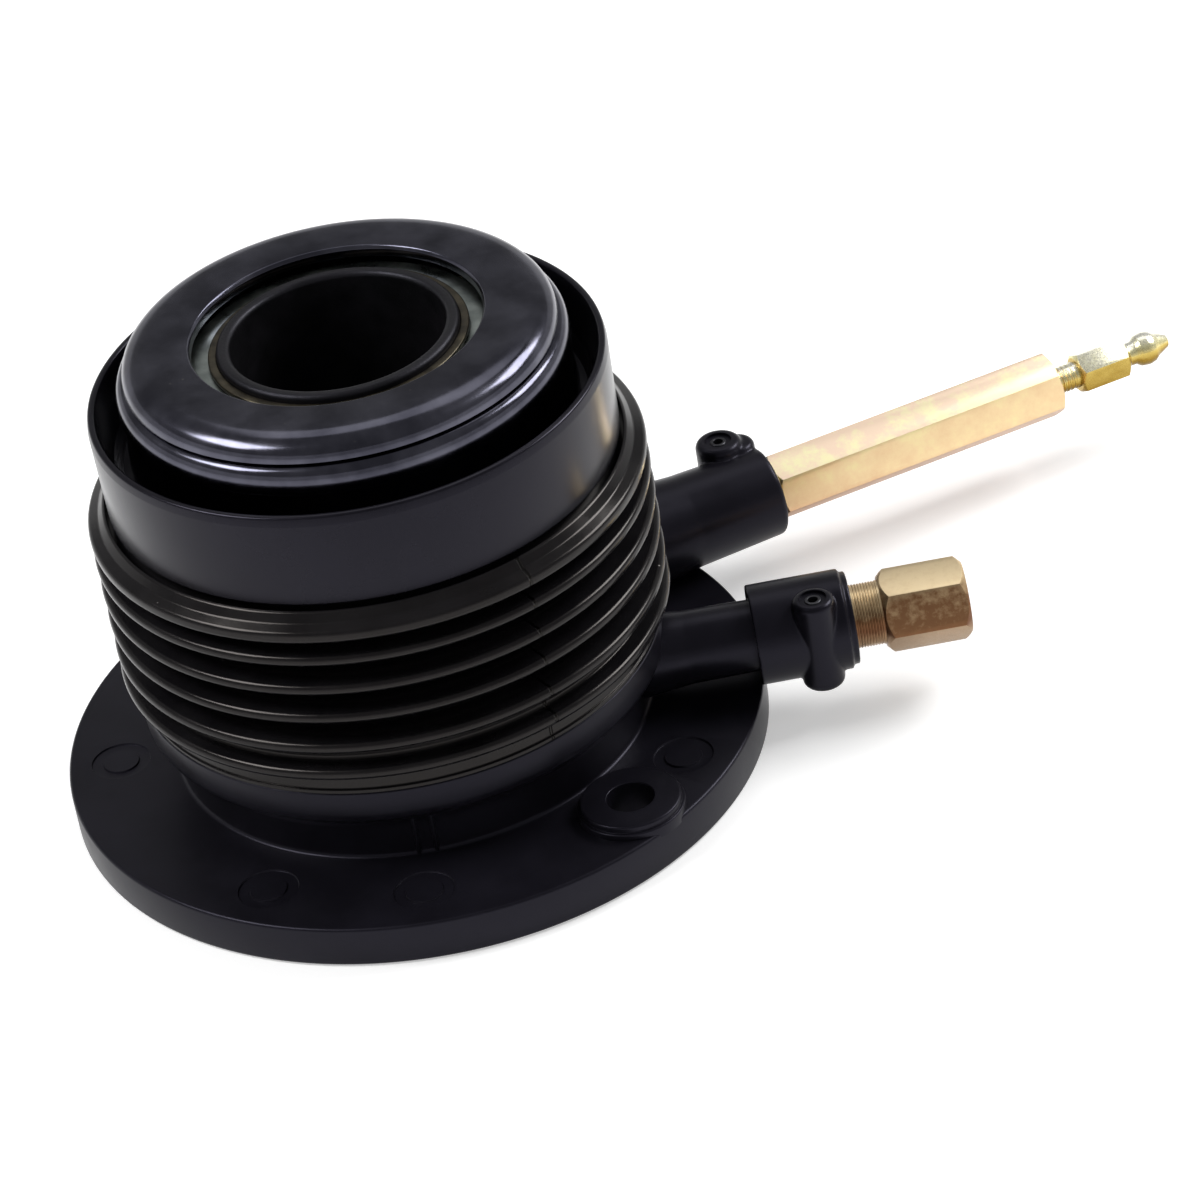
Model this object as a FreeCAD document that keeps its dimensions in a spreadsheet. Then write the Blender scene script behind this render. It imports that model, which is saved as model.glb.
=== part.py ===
import FreeCAD, Part
import math
import os
import Sketcher

os.makedirs("parts", exist_ok=True)
doc = FreeCAD.newDocument("clutch_slave_cylinder")
Vector = FreeCAD.Vector
Rotation = FreeCAD.Rotation
Placement = FreeCAD.Placement

# Driving sizes in millimetres and degrees.
# Origin: centre of the mounting face. +Z: along the gearbox shaft, towards the clutch.
DRIVING = {
    # housing flange and neck
    "flange_radius": 62.2,
    "flange_thick": 7.6,
    "flange_edge": 0.5,
    "neck_top": 24.2,
    "waist_step": 4.2,
    "waist_share": 0.45,
    "collar_share": 0.66,
    "waist_round": 0.8,
    "well_width": 9.0,
    "cuff_wall": 2.0,
    "cuff_step": 2.9,
    "cuff_height": 6.8,
    # pressure chamber
    "chamber_floor": 11.0,
    "cylinder_bore": 29.0,
    "cylinder_wall": 3.5,
    "cylinder_top": 48.0,
    "spring_floor": 20.0,
    # guide sleeve
    "sleeve_bore": 18.5,
    "sleeve_wall": 2.4,
    "sleeve_top": 87.4,
    "sleeve_lip": 1.0,
    "foot_radius": 23.4,
    "foot_thick": 3.0,
    "oring_depth": 2.1,
    "oring_low": 6.0,
    # gaps used for every fit
    "running_gap": 0.05,
    "loose_gap": 0.4,
    "race_gap": 0.03,
    "pocket_gap": 0.12,
    # bolt bosses on the flange
    "bolt_circle": 53.1,
    "bolt_angle": -49.0,
    "bolt_hole": 4.15,
    "boss_radius": 8.8,
    "boss_height": 2.4,
    "boss_step_radius": 9.4,
    "boss_step_height": 1.2,
    # round marks of the ejector pins
    "mark_radius": 5.2,
    "mark_land": 3.3,
    "mark_depth": 0.2,
    "mark_circle": 52.8,
    # ports
    "port_height": 16.0,
    "line_angle": 0.44,
    "line_offset": -7.84,
    "bleed_angle": 18.73,
    "bleed_offset": 13.47,
    "line_tube_radius": 6.35,
    "line_collar_radius": 8.88,
    "line_collar_lap": 0.7,
    "line_collar_reach": 5.5,
    "line_ring_radius": 8.2,
    "line_ring_width": 1.2,
    "bleed_root_radius": 9.6,
    "bleed_root_reach": 0.5,
    "bleed_tube_radius": 8.3,
    "bleed_tube_reach": 6.2,
    "passage_radius": 1.5,
    "port_floor": 61.5,
    # roll pins that hold the fittings
    "pin_radius": 1.5,
    "pin_wall": 0.6,
    "pin_slit": 0.7,
    "pin_beyond_oring": 6.0,
    "pin_aside": 5.8,
    "pin_boss_bottom": 8.0,
    "pin_rim": 2.45,
    "line_boss_radius": 3.75,
    "line_boss_top": 25.4,
    "bleed_boss_radius": 4.3,
    "bleed_boss_top": 26.3,
    # fittings
    "spigot_radius": 5.65,
    "spigot_clearance": 1.0,
    "spigot_groove_slack": 0.2,
    "fitting_oring": 0.8,
    "fitting_oring_inset": 3.3,
    "line_hex": 13.0,
    "line_neck_length": 5.2,
    "line_hex_length": 15.15,
    "line_hex_lean": 22.5,
    "line_thread_radius": 4.6,
    "line_thread_depth": 11.0,
    "bleed_hex": 11.0,
    "bleed_neck_length": 0.3,
    "bleed_hex_length": 58.2,
    "bleed_hex_lean": 11.7,
    "screw_radius": 3.0,
    "screw_hole_depth": 16.0,
    "screw_neck": 2.5,
    "screw_hex": 7.0,
    "screw_neck_length": 5.0,
    "screw_hex_length": 10.0,
    "screw_hex_lean": 57.0,
    "nipple_neck": 2.2,
    "nipple_ball": 3.15,
    "nipple_reach": 4.6,
    "nipple_tip_length": 4.5,
    "nipple_bore": 0.9,
    # piston and seal
    "seal_bottom": 33.5,
    "seal_height": 6.0,
    "seal_lip": 1.6,
    "piston_top": 66.0,
    "piston_flange_lap": 0.7,
    "piston_flange_thick": 2.0,
    # bearing carrier
    "carrier_web": 2.2,
    "carrier_room": 2.8,
    "carrier_dish": 1.5,
    "carrier_bevel": 1.2,
    "carrier_draft": 0.3,
    "carrier_skirt": 1.2,
    "carrier_drop": 2.7,
    "carrier_height": 9.2,
    "carrier_rim_height": 1.8,
    "spring_rib_height": 1.6,
    # preload spring
    "spring_wire": 1.5,
    "seat_thick": 1.0,
    # bellows
    "bellows_wall": 1.3,
    "valley_rise": 1.3,
    "fold_depth": 3.8,
    # fold pitches from the lower seat to the upper one; they stretch with the length between the seats
    "pitch_1": 5.3,
    "pitch_2": 5.5,
    "pitch_3": 6.2,
    "pitch_4": 5.8,
    "pitch_5": 5.9,
    "pitch_6": 4.6,
    "pitch_7": 5.8,
    "bellows_bead": 2.3,
    "bead_gap": 0.3,
    "bellows_round": 0.6,
    # release bearing
    "washer_height": 1.2,
    "washer_sheet": 0.6,
    "washer_inset": 1.4,
    "washer_margin": 0.5,
    "inner_room": 0.7,
    "inner_wall": 4.7,
    "inner_flange": 3.2,
    "inner_height": 15.6,
    "race_wall": 0.8,
    "race_height": 7.6,
    "ball_radius": 4.2,
    "ball_count": 18,
    "shoulder_offset": 1.7,
    "outer_wall": 3.2,
    "outer_lift": 0.6,
    "outer_height": 14.4,
    "face_lap": 1.2,
    "face_thick": 2.0,
    "face_room": 1.6,
    "face_step": 1.4,
    "face_round": 2.8,
    "bulge_round": 1.3,
    "cage_thick": 2.2,
    "cage_drop": 5.1,
    "cage_rise": 2.4,
    "shield_thick": 1.2,
    "shield_inset": 0.3,
    # retaining ring
    "clip_wire": 1.0,
    "clip_rise": 1.5,
    "clip_depth": 0.6,
    "clip_opening": 4.0,
}

sheet = doc.addObject("Spreadsheet::Sheet", "Sizes")
for row, (word, amount) in enumerate(DRIVING.items(), start=1):
    sheet.set("A%d" % row, word)
    sheet.set("B%d" % row, str(amount))
    sheet.setAlias("B%d" % row, word)
doc.recompute()


# A number together with the sheet formula that it stands for.
class Size:
    def __init__(self, value, formula):
        self.value = float(value)
        self.formula = formula

    def __add__(self, other):
        other = as_size(other)
        return Size(self.value + other.value, "(%s + %s)" % (self.formula, other.formula))

    def __sub__(self, other):
        other = as_size(other)
        return Size(self.value - other.value, "(%s - %s)" % (self.formula, other.formula))

    def __mul__(self, other):
        other = as_size(other)
        return Size(self.value * other.value, "(%s * %s)" % (self.formula, other.formula))

    def __truediv__(self, other):
        other = as_size(other)
        return Size(self.value / other.value, "(%s / %s)" % (self.formula, other.formula))

    def __neg__(self):
        return Size(-self.value, "(0 - %s)" % self.formula)


def as_size(number):
    if isinstance(number, Size):
        return number
    return Size(number, "%.4f" % number)


def size(word):
    return Size(DRIVING[word], "Sizes.%s" % word)


def sine(angle):
    return Size(math.sin(math.radians(angle.value)), "sin(%s * 1 deg)" % angle.formula)


def cosine(angle):
    return Size(math.cos(math.radians(angle.value)), "cos(%s * 1 deg)" % angle.formula)


def root(number):
    return Size(math.sqrt(number.value), "sqrt(%s)" % number.formula)


ZERO = as_size(0.0)


# Bodies, sketches and features

def new_body(node):
    body = doc.addObject("PartDesign::Body", node)
    body.Label = node
    body.AllowCompound = True
    return body


def origin_part(body, role):
    for feature in body.Origin.OriginFeatures:
        if feature.Role == role:
            return feature
    raise ValueError(role)


def bind(thing, path, amount):
    thing.setExpression(path, as_size(amount).formula)


# A sketch on one of the body's own planes, moved and turned within that plane.
def new_sketch(body, name, role="XZ_Plane", across=ZERO, up=ZERO, lift=ZERO, turn=ZERO):
    sketch = body.newObject("Sketcher::SketchObject", name)
    sketch.AttachmentSupport = [(origin_part(body, role), "")]
    sketch.MapMode = "FlatFace"
    base = Vector(across.value, up.value, lift.value)
    sketch.AttachmentOffset = Placement(base, Rotation(Vector(0, 0, 1), turn.value))
    bind(sketch, "AttachmentOffset.Base.x", across)
    bind(sketch, "AttachmentOffset.Base.y", up)
    bind(sketch, "AttachmentOffset.Base.z", lift)
    if turn.formula != ZERO.formula:
        bind(sketch, "AttachmentOffset.Rotation.Angle", turn)
    return sketch


# Ties one point of the sketch to the origin by its two coordinates.
def pin_point(sketch, geometry, end, across, up):
    for kind, axis, amount in (("DistanceX", -2, across), ("DistanceY", -1, up)):
        if amount.formula == ZERO.formula:
            sketch.addConstraint(Sketcher.Constraint("PointOnObject", geometry, end, axis))
            continue
        rule = Sketcher.Constraint(kind, -1, 1, geometry, end, amount.value)
        index = sketch.addConstraint(rule)
        bind(sketch, "Constraints[%d]" % index, amount)


def add_outline(sketch, corners):
    corners = [(as_size(a), as_size(b)) for a, b in corners]
    first = sketch.GeometryCount
    count = len(corners)
    for i in range(count):
        start = Vector(corners[i][0].value, corners[i][1].value, 0)
        after = corners[(i + 1) % count]
        finish = Vector(after[0].value, after[1].value, 0)
        sketch.addGeometry(Part.LineSegment(start, finish), False)
    for i in range(count):
        follower = first + (i + 1) % count
        sketch.addConstraint(Sketcher.Constraint("Coincident", first + i, 2, follower, 1))
    for i, (across, up) in enumerate(corners):
        pin_point(sketch, first + i, 1, across, up)


def add_circle(sketch, across, up, radius):
    across = as_size(across)
    up = as_size(up)
    radius = as_size(radius)
    circle = Part.Circle(Vector(across.value, up.value, 0), Vector(0, 0, 1), radius.value)
    geometry = sketch.addGeometry(circle, False)
    pin_point(sketch, geometry, 3, across, up)
    index = sketch.addConstraint(Sketcher.Constraint("Radius", geometry, radius.value))
    bind(sketch, "Constraints[%d]" % index, radius)


def revolve(body, name, sketch, axis="V_Axis", cut=False):
    kind = "PartDesign::Groove" if cut else "PartDesign::Revolution"
    feature = body.newObject(kind, name)
    feature.Profile = sketch
    feature.ReferenceAxis = (sketch, [axis])
    feature.Angle = 360.0
    sketch.Visibility = False
    doc.recompute()
    return feature


# A ring from its section, as pairs of radius and height.
def ring(body, name, corners, cut=False):
    sketch = new_sketch(body, name + "_section")
    add_outline(sketch, corners)
    return revolve(body, name, sketch, "V_Axis", cut)


# A turned piece along +X from its section, as pairs of distance and radius.
def turned(body, name, corners, cut=False):
    sketch = new_sketch(body, name + "_section")
    add_outline(sketch, corners)
    return revolve(body, name, sketch, "H_Axis", cut)


def pad(body, name, sketch, length):
    feature = body.newObject("PartDesign::Pad", name)
    feature.Profile = sketch
    feature.Length = length.value
    bind(feature, "Length", length)
    sketch.Visibility = False
    doc.recompute()
    return feature


# Cuts from the sketch against its own normal; the removed volume is checked.
def pocket(body, name, sketch, length):
    before = body.Shape.Volume
    feature = body.newObject("PartDesign::Pocket", name)
    feature.Profile = sketch
    feature.Length = length.value
    bind(feature, "Length", length)
    sketch.Visibility = False
    doc.recompute()
    if body.Shape.Volume >= before - 1e-6:
        raise ValueError("%s removes nothing" % name)
    return feature


def polar(body, name, features, axis, count):
    feature = body.newObject("PartDesign::PolarPattern", name)
    feature.Originals = features
    feature.Axis = axis
    feature.Angle = 360.0
    feature.Occurrences = int(count.value)
    bind(feature, "Occurrences", count)
    body.Tip = feature
    doc.recompute()
    return feature


def circle_edges(shape, wanted):
    names = []
    for i, edge in enumerate(shape.Edges, start=1):
        if not isinstance(edge.Curve, Part.Circle):
            continue
        centre = edge.Curve.Center
        if wanted(edge.Curve.Radius, centre):
            names.append("Edge%d" % i)
    return names


def soften(body, name, kind, amount, wanted):
    base = body.Tip
    names = circle_edges(base.Shape, wanted)
    if not names:
        raise ValueError("%s finds no edge" % name)
    feature = body.newObject("PartDesign::" + kind, name)
    feature.Base = (base, names)
    path = "Radius" if kind == "Fillet" else "Size"
    setattr(feature, path, amount.value)
    bind(feature, path, amount)
    doc.recompute()
    return feature


def near(value, wanted):
    return abs(value - wanted.value) < 0.02


# Places a fitting that was built along +X into its port.
def put_in_port(body, angle, offset):
    across = -offset * sine(angle)
    up = offset * cosine(angle)
    base = Vector(across.value, up.value, DRIVING["port_height"])
    body.Placement = Placement(base, Rotation(Vector(0, 0, 1), angle.value))
    bind(body, "Placement.Base.x", across)
    bind(body, "Placement.Base.y", up)
    bind(body, "Placement.Base.z", size("port_height"))
    body.setExpression("Placement.Rotation.Angle", "%s * 1 deg" % angle.formula)


# Sizes that follow from the driving ones

sleeve_outer = size("sleeve_bore") + size("sleeve_wall")
sleeve_hole = sleeve_outer + size("running_gap")
cylinder_outer = size("cylinder_bore") + size("cylinder_wall")
well_outer = cylinder_outer + size("well_width")
cuff_seat = well_outer + size("cuff_wall")
neck = cuff_seat + size("cuff_step")
# the neck is narrower below its collar
waist = neck - size("waist_step")
neck_height = size("neck_top") - size("flange_thick")
waist_top = size("flange_thick") + neck_height * size("waist_share")
collar_low = size("flange_thick") + neck_height * size("collar_share")
valley = cuff_seat + size("valley_rise")
ridge = valley + size("fold_depth")
spring_mean = cylinder_outer + size("well_width") / 2
port_bore = size("spigot_radius") + size("running_gap")
pin_inner = size("pin_radius") - size("pin_wall")
spigot_start = size("port_floor") + size("spigot_clearance")
fitting_oring_along = spigot_start + size("fitting_oring_inset")
pin_along = fitting_oring_along + size("pin_beyond_oring")
line_collar_start = size("port_floor") - size("line_collar_lap")
line_collar_end = pin_along + size("line_collar_reach")
line_ring_end = line_collar_end + size("line_ring_width")
line_hex_start = line_ring_end + size("line_neck_length")
line_hex_end = line_hex_start + size("line_hex_length")
bleed_root_end = size("port_floor") + size("bleed_root_reach")
bleed_tube_end = pin_along + size("bleed_tube_reach")
bleed_hex_start = bleed_tube_end + size("bleed_neck_length")
bleed_hex_end = bleed_hex_start + size("bleed_hex_length")
screw_hex_start = bleed_hex_end + size("screw_neck_length")
screw_hex_end = screw_hex_start + size("screw_hex_length")
nipple_centre = screw_hex_end + size("nipple_reach")
nipple_tip = nipple_centre + size("nipple_tip_length")
groove_floor = size("pin_aside") - size("pin_radius") - size("running_gap")
seal_top = size("seal_bottom") + size("seal_height")
piston_flange = cylinder_outer + size("piston_flange_lap")
web_top = size("piston_top") + size("carrier_web")
ring_bottom = web_top + size("washer_height")
race_radius = size("ball_radius") + size("race_gap")
inner_bore = sleeve_outer + size("inner_room")
inner_neck = inner_bore + size("inner_wall")
inner_shoulder = inner_neck + size("inner_flange")
inner_top = ring_bottom + size("inner_height")
ball_circle = inner_neck + size("race_wall") + size("ball_radius")
ball_height = ring_bottom + size("race_height")
outer_shoulder = ball_circle + size("shoulder_offset")
outer_mouth = ball_circle + size("ball_radius") + 0.3
outer_radius = outer_mouth + size("outer_wall")
outer_bottom = ring_bottom + size("outer_lift")
bulge_top = outer_bottom + size("outer_height")
under_face = inner_top + size("face_room")
face_top = under_face + size("face_thick")
face_hole = inner_neck - size("face_lap")
face_radius = outer_radius - size("face_step")
carrier_floor = outer_radius + size("carrier_room")
carrier_rim = carrier_floor + size("carrier_dish")
carrier_radius = carrier_rim + size("carrier_bevel")
carrier_bottom = size("piston_top") - size("carrier_drop")
carrier_shoulder = web_top + size("carrier_height")
skirt_inner = carrier_radius - size("carrier_skirt")
clip_outer = sleeve_outer + size("clip_rise")
fitting_bed = port_bore - size("fitting_oring") * 2 - size("running_gap")
bead_outer = skirt_inner - size("bead_gap")


# Housing

def port_frame(body, name, angle, offset):
    across = -offset * sine(angle)
    up = offset * cosine(angle)
    return new_sketch(body, name, "XY_Plane", across, up, size("port_height"), angle)


def add_port(body, name, angle, offset, outline):
    sketch = port_frame(body, name + "_section", angle, offset)
    add_outline(sketch, outline)
    revolve(body, name, sketch, "H_Axis")


def bore_port(body, name, angle, offset):
    sketch = port_frame(body, name + "_section", angle, offset)
    inside = size("cylinder_bore") - 5.0
    outside = line_ring_end + 5.0
    add_outline(sketch, [
        (inside, ZERO),
        (inside, size("passage_radius")),
        (size("port_floor"), size("passage_radius")),
        (size("port_floor"), port_bore),
        (outside, port_bore),
        (outside, ZERO),
    ])
    revolve(body, name, sketch, "H_Axis", cut=True)


# Point at a distance along the port and aside from its axis, as seen from above.
def port_point(angle, offset, along, aside):
    level = offset + aside
    across = along * cosine(angle) - level * sine(angle)
    up = along * sine(angle) + level * cosine(angle)
    return across, up


def pin_boss(body, name, angle, offset, aside, radius, top):
    across, up = port_point(angle, offset, pin_along, aside)
    sketch = new_sketch(body, name + "_outline", "XY_Plane", lift=size("pin_boss_bottom"))
    add_circle(sketch, across, up, radius)
    pad(body, name, sketch, top - size("pin_boss_bottom"))


def pin_hole(body, name, angle, offset, aside, top):
    across, up = port_point(angle, offset, pin_along, aside)
    sketch = new_sketch(body, name + "_outline", "XY_Plane", lift=top)
    add_circle(sketch, across, up, size("pin_radius"))
    pocket(body, name, sketch, top - size("pin_boss_bottom") - 1.2)
    rim = new_sketch(body, name + "_rim_outline", "XY_Plane", lift=top)
    add_circle(rim, across, up, size("pin_rim"))
    pocket(body, name + "_rim", rim, as_size(0.5))


def make_housing():
    body = new_body("housing")
    edge = size("flange_edge")
    ring(body, "shell", [
        (sleeve_hole, size("foot_thick")),
        (size("foot_radius") + size("running_gap"), size("foot_thick")),
        (size("foot_radius") + size("running_gap"), ZERO),
        (size("flange_radius") - edge, ZERO),
        (size("flange_radius"), edge),
        (size("flange_radius"), size("flange_thick") - edge),
        (size("flange_radius") - edge, size("flange_thick")),
        (waist, size("flange_thick")),
        (waist, waist_top),
        (neck, collar_low),
        (neck, size("neck_top")),
        (cuff_seat, size("neck_top")),
        (cuff_seat, size("neck_top") + size("cuff_height")),
        (well_outer, size("neck_top") + size("cuff_height")),
        (well_outer, size("spring_floor")),
        (cylinder_outer, size("spring_floor")),
        (cylinder_outer, size("cylinder_top")),
        (size("cylinder_bore") + 0.8, size("cylinder_top")),
        (size("cylinder_bore"), size("cylinder_top") - 1.5),
        (size("cylinder_bore"), size("chamber_floor")),
        (sleeve_hole, size("chamber_floor")),
    ])
    soften(body, "waist_foot", "Fillet", size("waist_round"),
           lambda radius, centre: near(radius, waist) and near(centre.z, size("flange_thick")))
    add_bolt_bosses(body)
    add_marks(body)
    line = (size("line_angle"), size("line_offset"))
    bleed = (size("bleed_angle"), size("bleed_offset"))
    inside = cylinder_outer + 1.5
    add_port(body, "line_port", line[0], line[1], [
        (inside, ZERO),
        (inside, size("line_tube_radius")),
        (line_collar_start, size("line_tube_radius")),
        (line_collar_start, size("line_collar_radius")),
        (line_collar_end, size("line_collar_radius")),
        (line_collar_end, size("line_ring_radius")),
        (line_ring_end, size("line_ring_radius")),
        (line_ring_end, ZERO),
    ])
    add_port(body, "bleed_port", bleed[0], bleed[1], [
        (inside, ZERO),
        (inside, size("bleed_root_radius")),
        (neck, size("bleed_root_radius")),
        (bleed_root_end, size("bleed_tube_radius") + 0.3),
        (bleed_tube_end - 0.5, size("bleed_tube_radius")),
        (bleed_tube_end, size("bleed_tube_radius") - 0.5),
        (bleed_tube_end, ZERO),
    ])
    pin_boss(body, "line_pin_boss", line[0], line[1], -size("pin_aside"),
             size("line_boss_radius"), size("line_boss_top"))
    pin_boss(body, "bleed_pin_boss", bleed[0], bleed[1], size("pin_aside"),
             size("bleed_boss_radius"), size("bleed_boss_top"))
    # the ports must not stand inside the spring well or the chamber
    ring(body, "spring_well", [
        (cylinder_outer, size("spring_floor")),
        (well_outer, size("spring_floor")),
        (well_outer, size("cylinder_top")),
        (cylinder_outer, size("cylinder_top")),
    ], cut=True)
    bore_port(body, "line_bore", line[0], line[1])
    bore_port(body, "bleed_bore", bleed[0], bleed[1])
    pin_hole(body, "line_pin_hole", line[0], line[1], -size("pin_aside"), size("line_boss_top"))
    pin_hole(body, "bleed_pin_hole", bleed[0], bleed[1], size("pin_aside"), size("bleed_boss_top"))
    groove_top = size("oring_low") + size("oring_depth") * 1.2
    ring(body, "oring_groove", [
        (sleeve_hole - 0.5, size("oring_low")),
        (sleeve_outer + size("oring_depth"), size("oring_low")),
        (sleeve_outer + size("oring_depth"), groove_top),
        (sleeve_hole - 0.5, groove_top),
    ], cut=True)
    return body


def add_bolt_bosses(body):
    turn = size("bolt_angle")
    across = size("bolt_circle") * cosine(turn)
    up = size("bolt_circle") * sine(turn)
    features = []
    heights = (("boss_step", "boss_step_radius", "boss_step_height"),
               ("boss", "boss_radius", "boss_height"))
    for name, radius, height in heights:
        sketch = new_sketch(body, name + "_outline", "XY_Plane", lift=size("flange_thick") - 1.0)
        add_circle(sketch, across, up, size(radius))
        features.append(pad(body, name, sketch, size(height) + 1.0))
    top = size("flange_thick") + size("boss_height")
    sketch = new_sketch(body, "bolt_hole_outline", "XY_Plane", lift=top)
    add_circle(sketch, across, up, size("bolt_hole"))
    features.append(pocket(body, "bolt_hole_cut", sketch, top + 1.0))
    polar(body, "bolt_pair", features, (sketch, ["N_Axis"]), as_size(2))


def add_marks(body):
    sketch = new_sketch(body, "mark_outline", "XY_Plane", lift=size("flange_thick"))
    for turn in (179.0, -122.6, -92.3, -31.3):
        across = size("mark_circle") * cosine(as_size(turn))
        up = size("mark_circle") * sine(as_size(turn))
        add_circle(sketch, across, up, size("mark_radius"))
        add_circle(sketch, across, up, size("mark_land"))
    pocket(body, "marks", sketch, size("mark_depth"))


# Sleeve, its ring seal and its open wire ring

def make_guide_sleeve():
    body = new_body("guide_sleeve")
    ring(body, "tube", [
        (size("sleeve_bore"), ZERO),
        (size("foot_radius"), ZERO),
        (size("foot_radius"), size("foot_thick")),
        (sleeve_outer, size("foot_thick")),
        (sleeve_outer, size("sleeve_top")),
        (size("sleeve_bore"), size("sleeve_top")),
    ])
    soften(body, "lip", "Fillet", size("sleeve_lip"),
           lambda radius, centre: near(centre.z, size("sleeve_top")))
    low = inner_top + size("running_gap")
    ring(body, "clip_groove", [
        (sleeve_outer - size("clip_depth"), low),
        (sleeve_outer + 1.0, low),
        (sleeve_outer + 1.0, low + size("clip_wire")),
        (sleeve_outer - size("clip_depth"), low + size("clip_wire")),
    ], cut=True)
    return body


def oring(node, centre_radius, height, section):
    body = new_body(node)
    sketch = new_sketch(body, "section")
    add_circle(sketch, centre_radius, height, section)
    revolve(body, "loop", sketch)
    return body


def make_sleeve_oring():
    section = size("oring_depth") / 2
    middle = size("oring_low") + size("oring_depth") * 0.6
    return oring("sleeve_oring", sleeve_outer + section, middle, section)


def make_retaining_ring():
    body = new_body("retaining_ring")
    low = inner_top + size("running_gap")
    inner = sleeve_outer - size("clip_depth")
    ring(body, "hoop", [
        (inner, low),
        (clip_outer, low),
        (clip_outer, low + size("clip_wire")),
        (inner, low + size("clip_wire")),
    ])
    half = size("clip_opening") / 2
    sketch = new_sketch(body, "opening_outline", "XY_Plane", lift=low + size("clip_wire"))
    add_outline(sketch, [
        (-half, inner - 2.0),
        (half, inner - 2.0),
        (half, clip_outer + 2.0),
        (-half, clip_outer + 2.0),
    ])
    pocket(body, "opening", sketch, size("clip_wire"))
    return body


# Spring and its seat

def make_spring_seat():
    body = new_body("spring_seat")
    low = size("spring_floor")
    ring(body, "plate", [
        (cylinder_outer + 0.3, low),
        (well_outer - 0.5, low),
        (well_outer - 0.5, low + size("seat_thick")),
        (cylinder_outer + 0.3, low + size("seat_thick")),
    ])
    return body


# One closed turn at each end, open turns between; swept along a smooth curve.
def make_preload_spring():
    wire = DRIVING["spring_wire"]
    mean = spring_mean.value
    low = DRIVING["spring_floor"] + DRIVING["seat_thick"] + wire
    high = DRIVING["piston_top"] - wire
    closed_rise = 2.04 * wire
    open_turns = 4
    steps = 16
    heights = []
    for step in range(steps + 1):
        heights.append(low + closed_rise * step / steps)
    middle_low = heights[-1]
    middle_high = high - closed_rise
    for step in range(1, open_turns * steps + 1):
        share = step / (open_turns * steps)
        eased = share - math.sin(2 * math.pi * share) / (2 * math.pi) * 0.25
        heights.append(middle_low + (middle_high - middle_low) * eased)
    for step in range(1, steps + 1):
        heights.append(middle_high + closed_rise * step / steps)
    points = []
    for index, height in enumerate(heights):
        turn = 2 * math.pi * index / steps
        points.append(Vector(mean * math.cos(turn), mean * math.sin(turn), height))
    curve = Part.BSplineCurve()
    curve.interpolate(points)
    path = Part.Wire([curve.toShape()])
    section = Part.Wire([Part.Circle(points[0], curve.tangent(curve.FirstParameter)[0], wire).toShape()])
    coil = path.makePipeShell([section], True, True)
    feature = doc.addObject("Part::Feature", "preload_spring")
    feature.Label = "preload_spring"
    feature.Shape = coil
    feature.Placement = Placement()
    return feature


# Rubber bellows, a thin folded wall between two thick ends

def make_dust_bellows():
    body = new_body("dust_bellows")
    wall = size("bellows_wall")
    top = size("piston_top")
    skirt = carrier_bottom
    pitches = [size("pitch_%d" % number) for number in range(1, 8)]
    total = sum(pitches, ZERO)
    span = skirt - size("neck_top")
    ridges = []
    climbed = ZERO
    for pitch in pitches[:6]:
        climbed = climbed + pitch
        ridges.insert(0, size("neck_top") + span * (climbed / total))
    outside = [
        (bead_outer, top),
        (bead_outer, skirt),
        (carrier_radius + 1.8, skirt),
        (ridge - 0.9, skirt - 1.3),
        (ridge - 0.2, skirt - 3.3),
        (ridge, ridges[0]),
    ]
    for upper, lower in zip(ridges, ridges[1:]):
        outside.append((valley, (upper + lower) / 2))
        outside.append((ridge, lower))
    outside.append((neck + 0.2, size("neck_top") + 1.6))
    outside.append((neck - 0.1, size("neck_top")))
    inside = [
        (cuff_seat, size("neck_top")),
        (cuff_seat, ridges[-1] - wall),
        (ridge - wall * 1.25, ridges[-1]),
    ]
    for upper, lower in reversed(list(zip(ridges, ridges[1:]))):
        inside.append((valley - wall, (upper + lower) / 2))
        inside.append((ridge - wall * 1.25, upper))
    inside.append((ridge - wall - 0.4, skirt - 3.3))
    inside.append((ridge - wall - 1.0, skirt - wall - 0.8))
    inside.append((carrier_radius + 0.8, skirt - wall))
    inside.append((bead_outer - size("bellows_bead"), skirt - wall))
    inside.append((bead_outer - size("bellows_bead"), top))
    ring(body, "folds", outside + inside)
    soften(body, "ridge_rounds", "Fillet", size("bellows_round"),
           lambda radius, centre: near(radius, ridge))
    return body


# Piston and seal

def make_piston():
    body = new_body("piston")
    outer = size("cylinder_bore") - size("running_gap")
    flange_low = size("piston_top") - size("piston_flange_thick")
    ring(body, "trunk", [
        (sleeve_hole, seal_top),
        (outer - 0.6, seal_top),
        (outer, seal_top + 0.6),
        (outer, seal_top + 12.0),
        (outer - 1.2, seal_top + 13.2),
        (outer - 1.2, flange_low),
        (piston_flange, flange_low),
        (piston_flange, size("piston_top")),
        (sleeve_hole, size("piston_top")),
    ])
    ring(body, "dirt_grooves", [
        (outer - 0.7, seal_top + 4.0),
        (outer + 1.0, seal_top + 4.0),
        (outer + 1.0, seal_top + 6.0),
        (outer - 0.7, seal_top + 6.0),
    ], cut=True)
    return body


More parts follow.
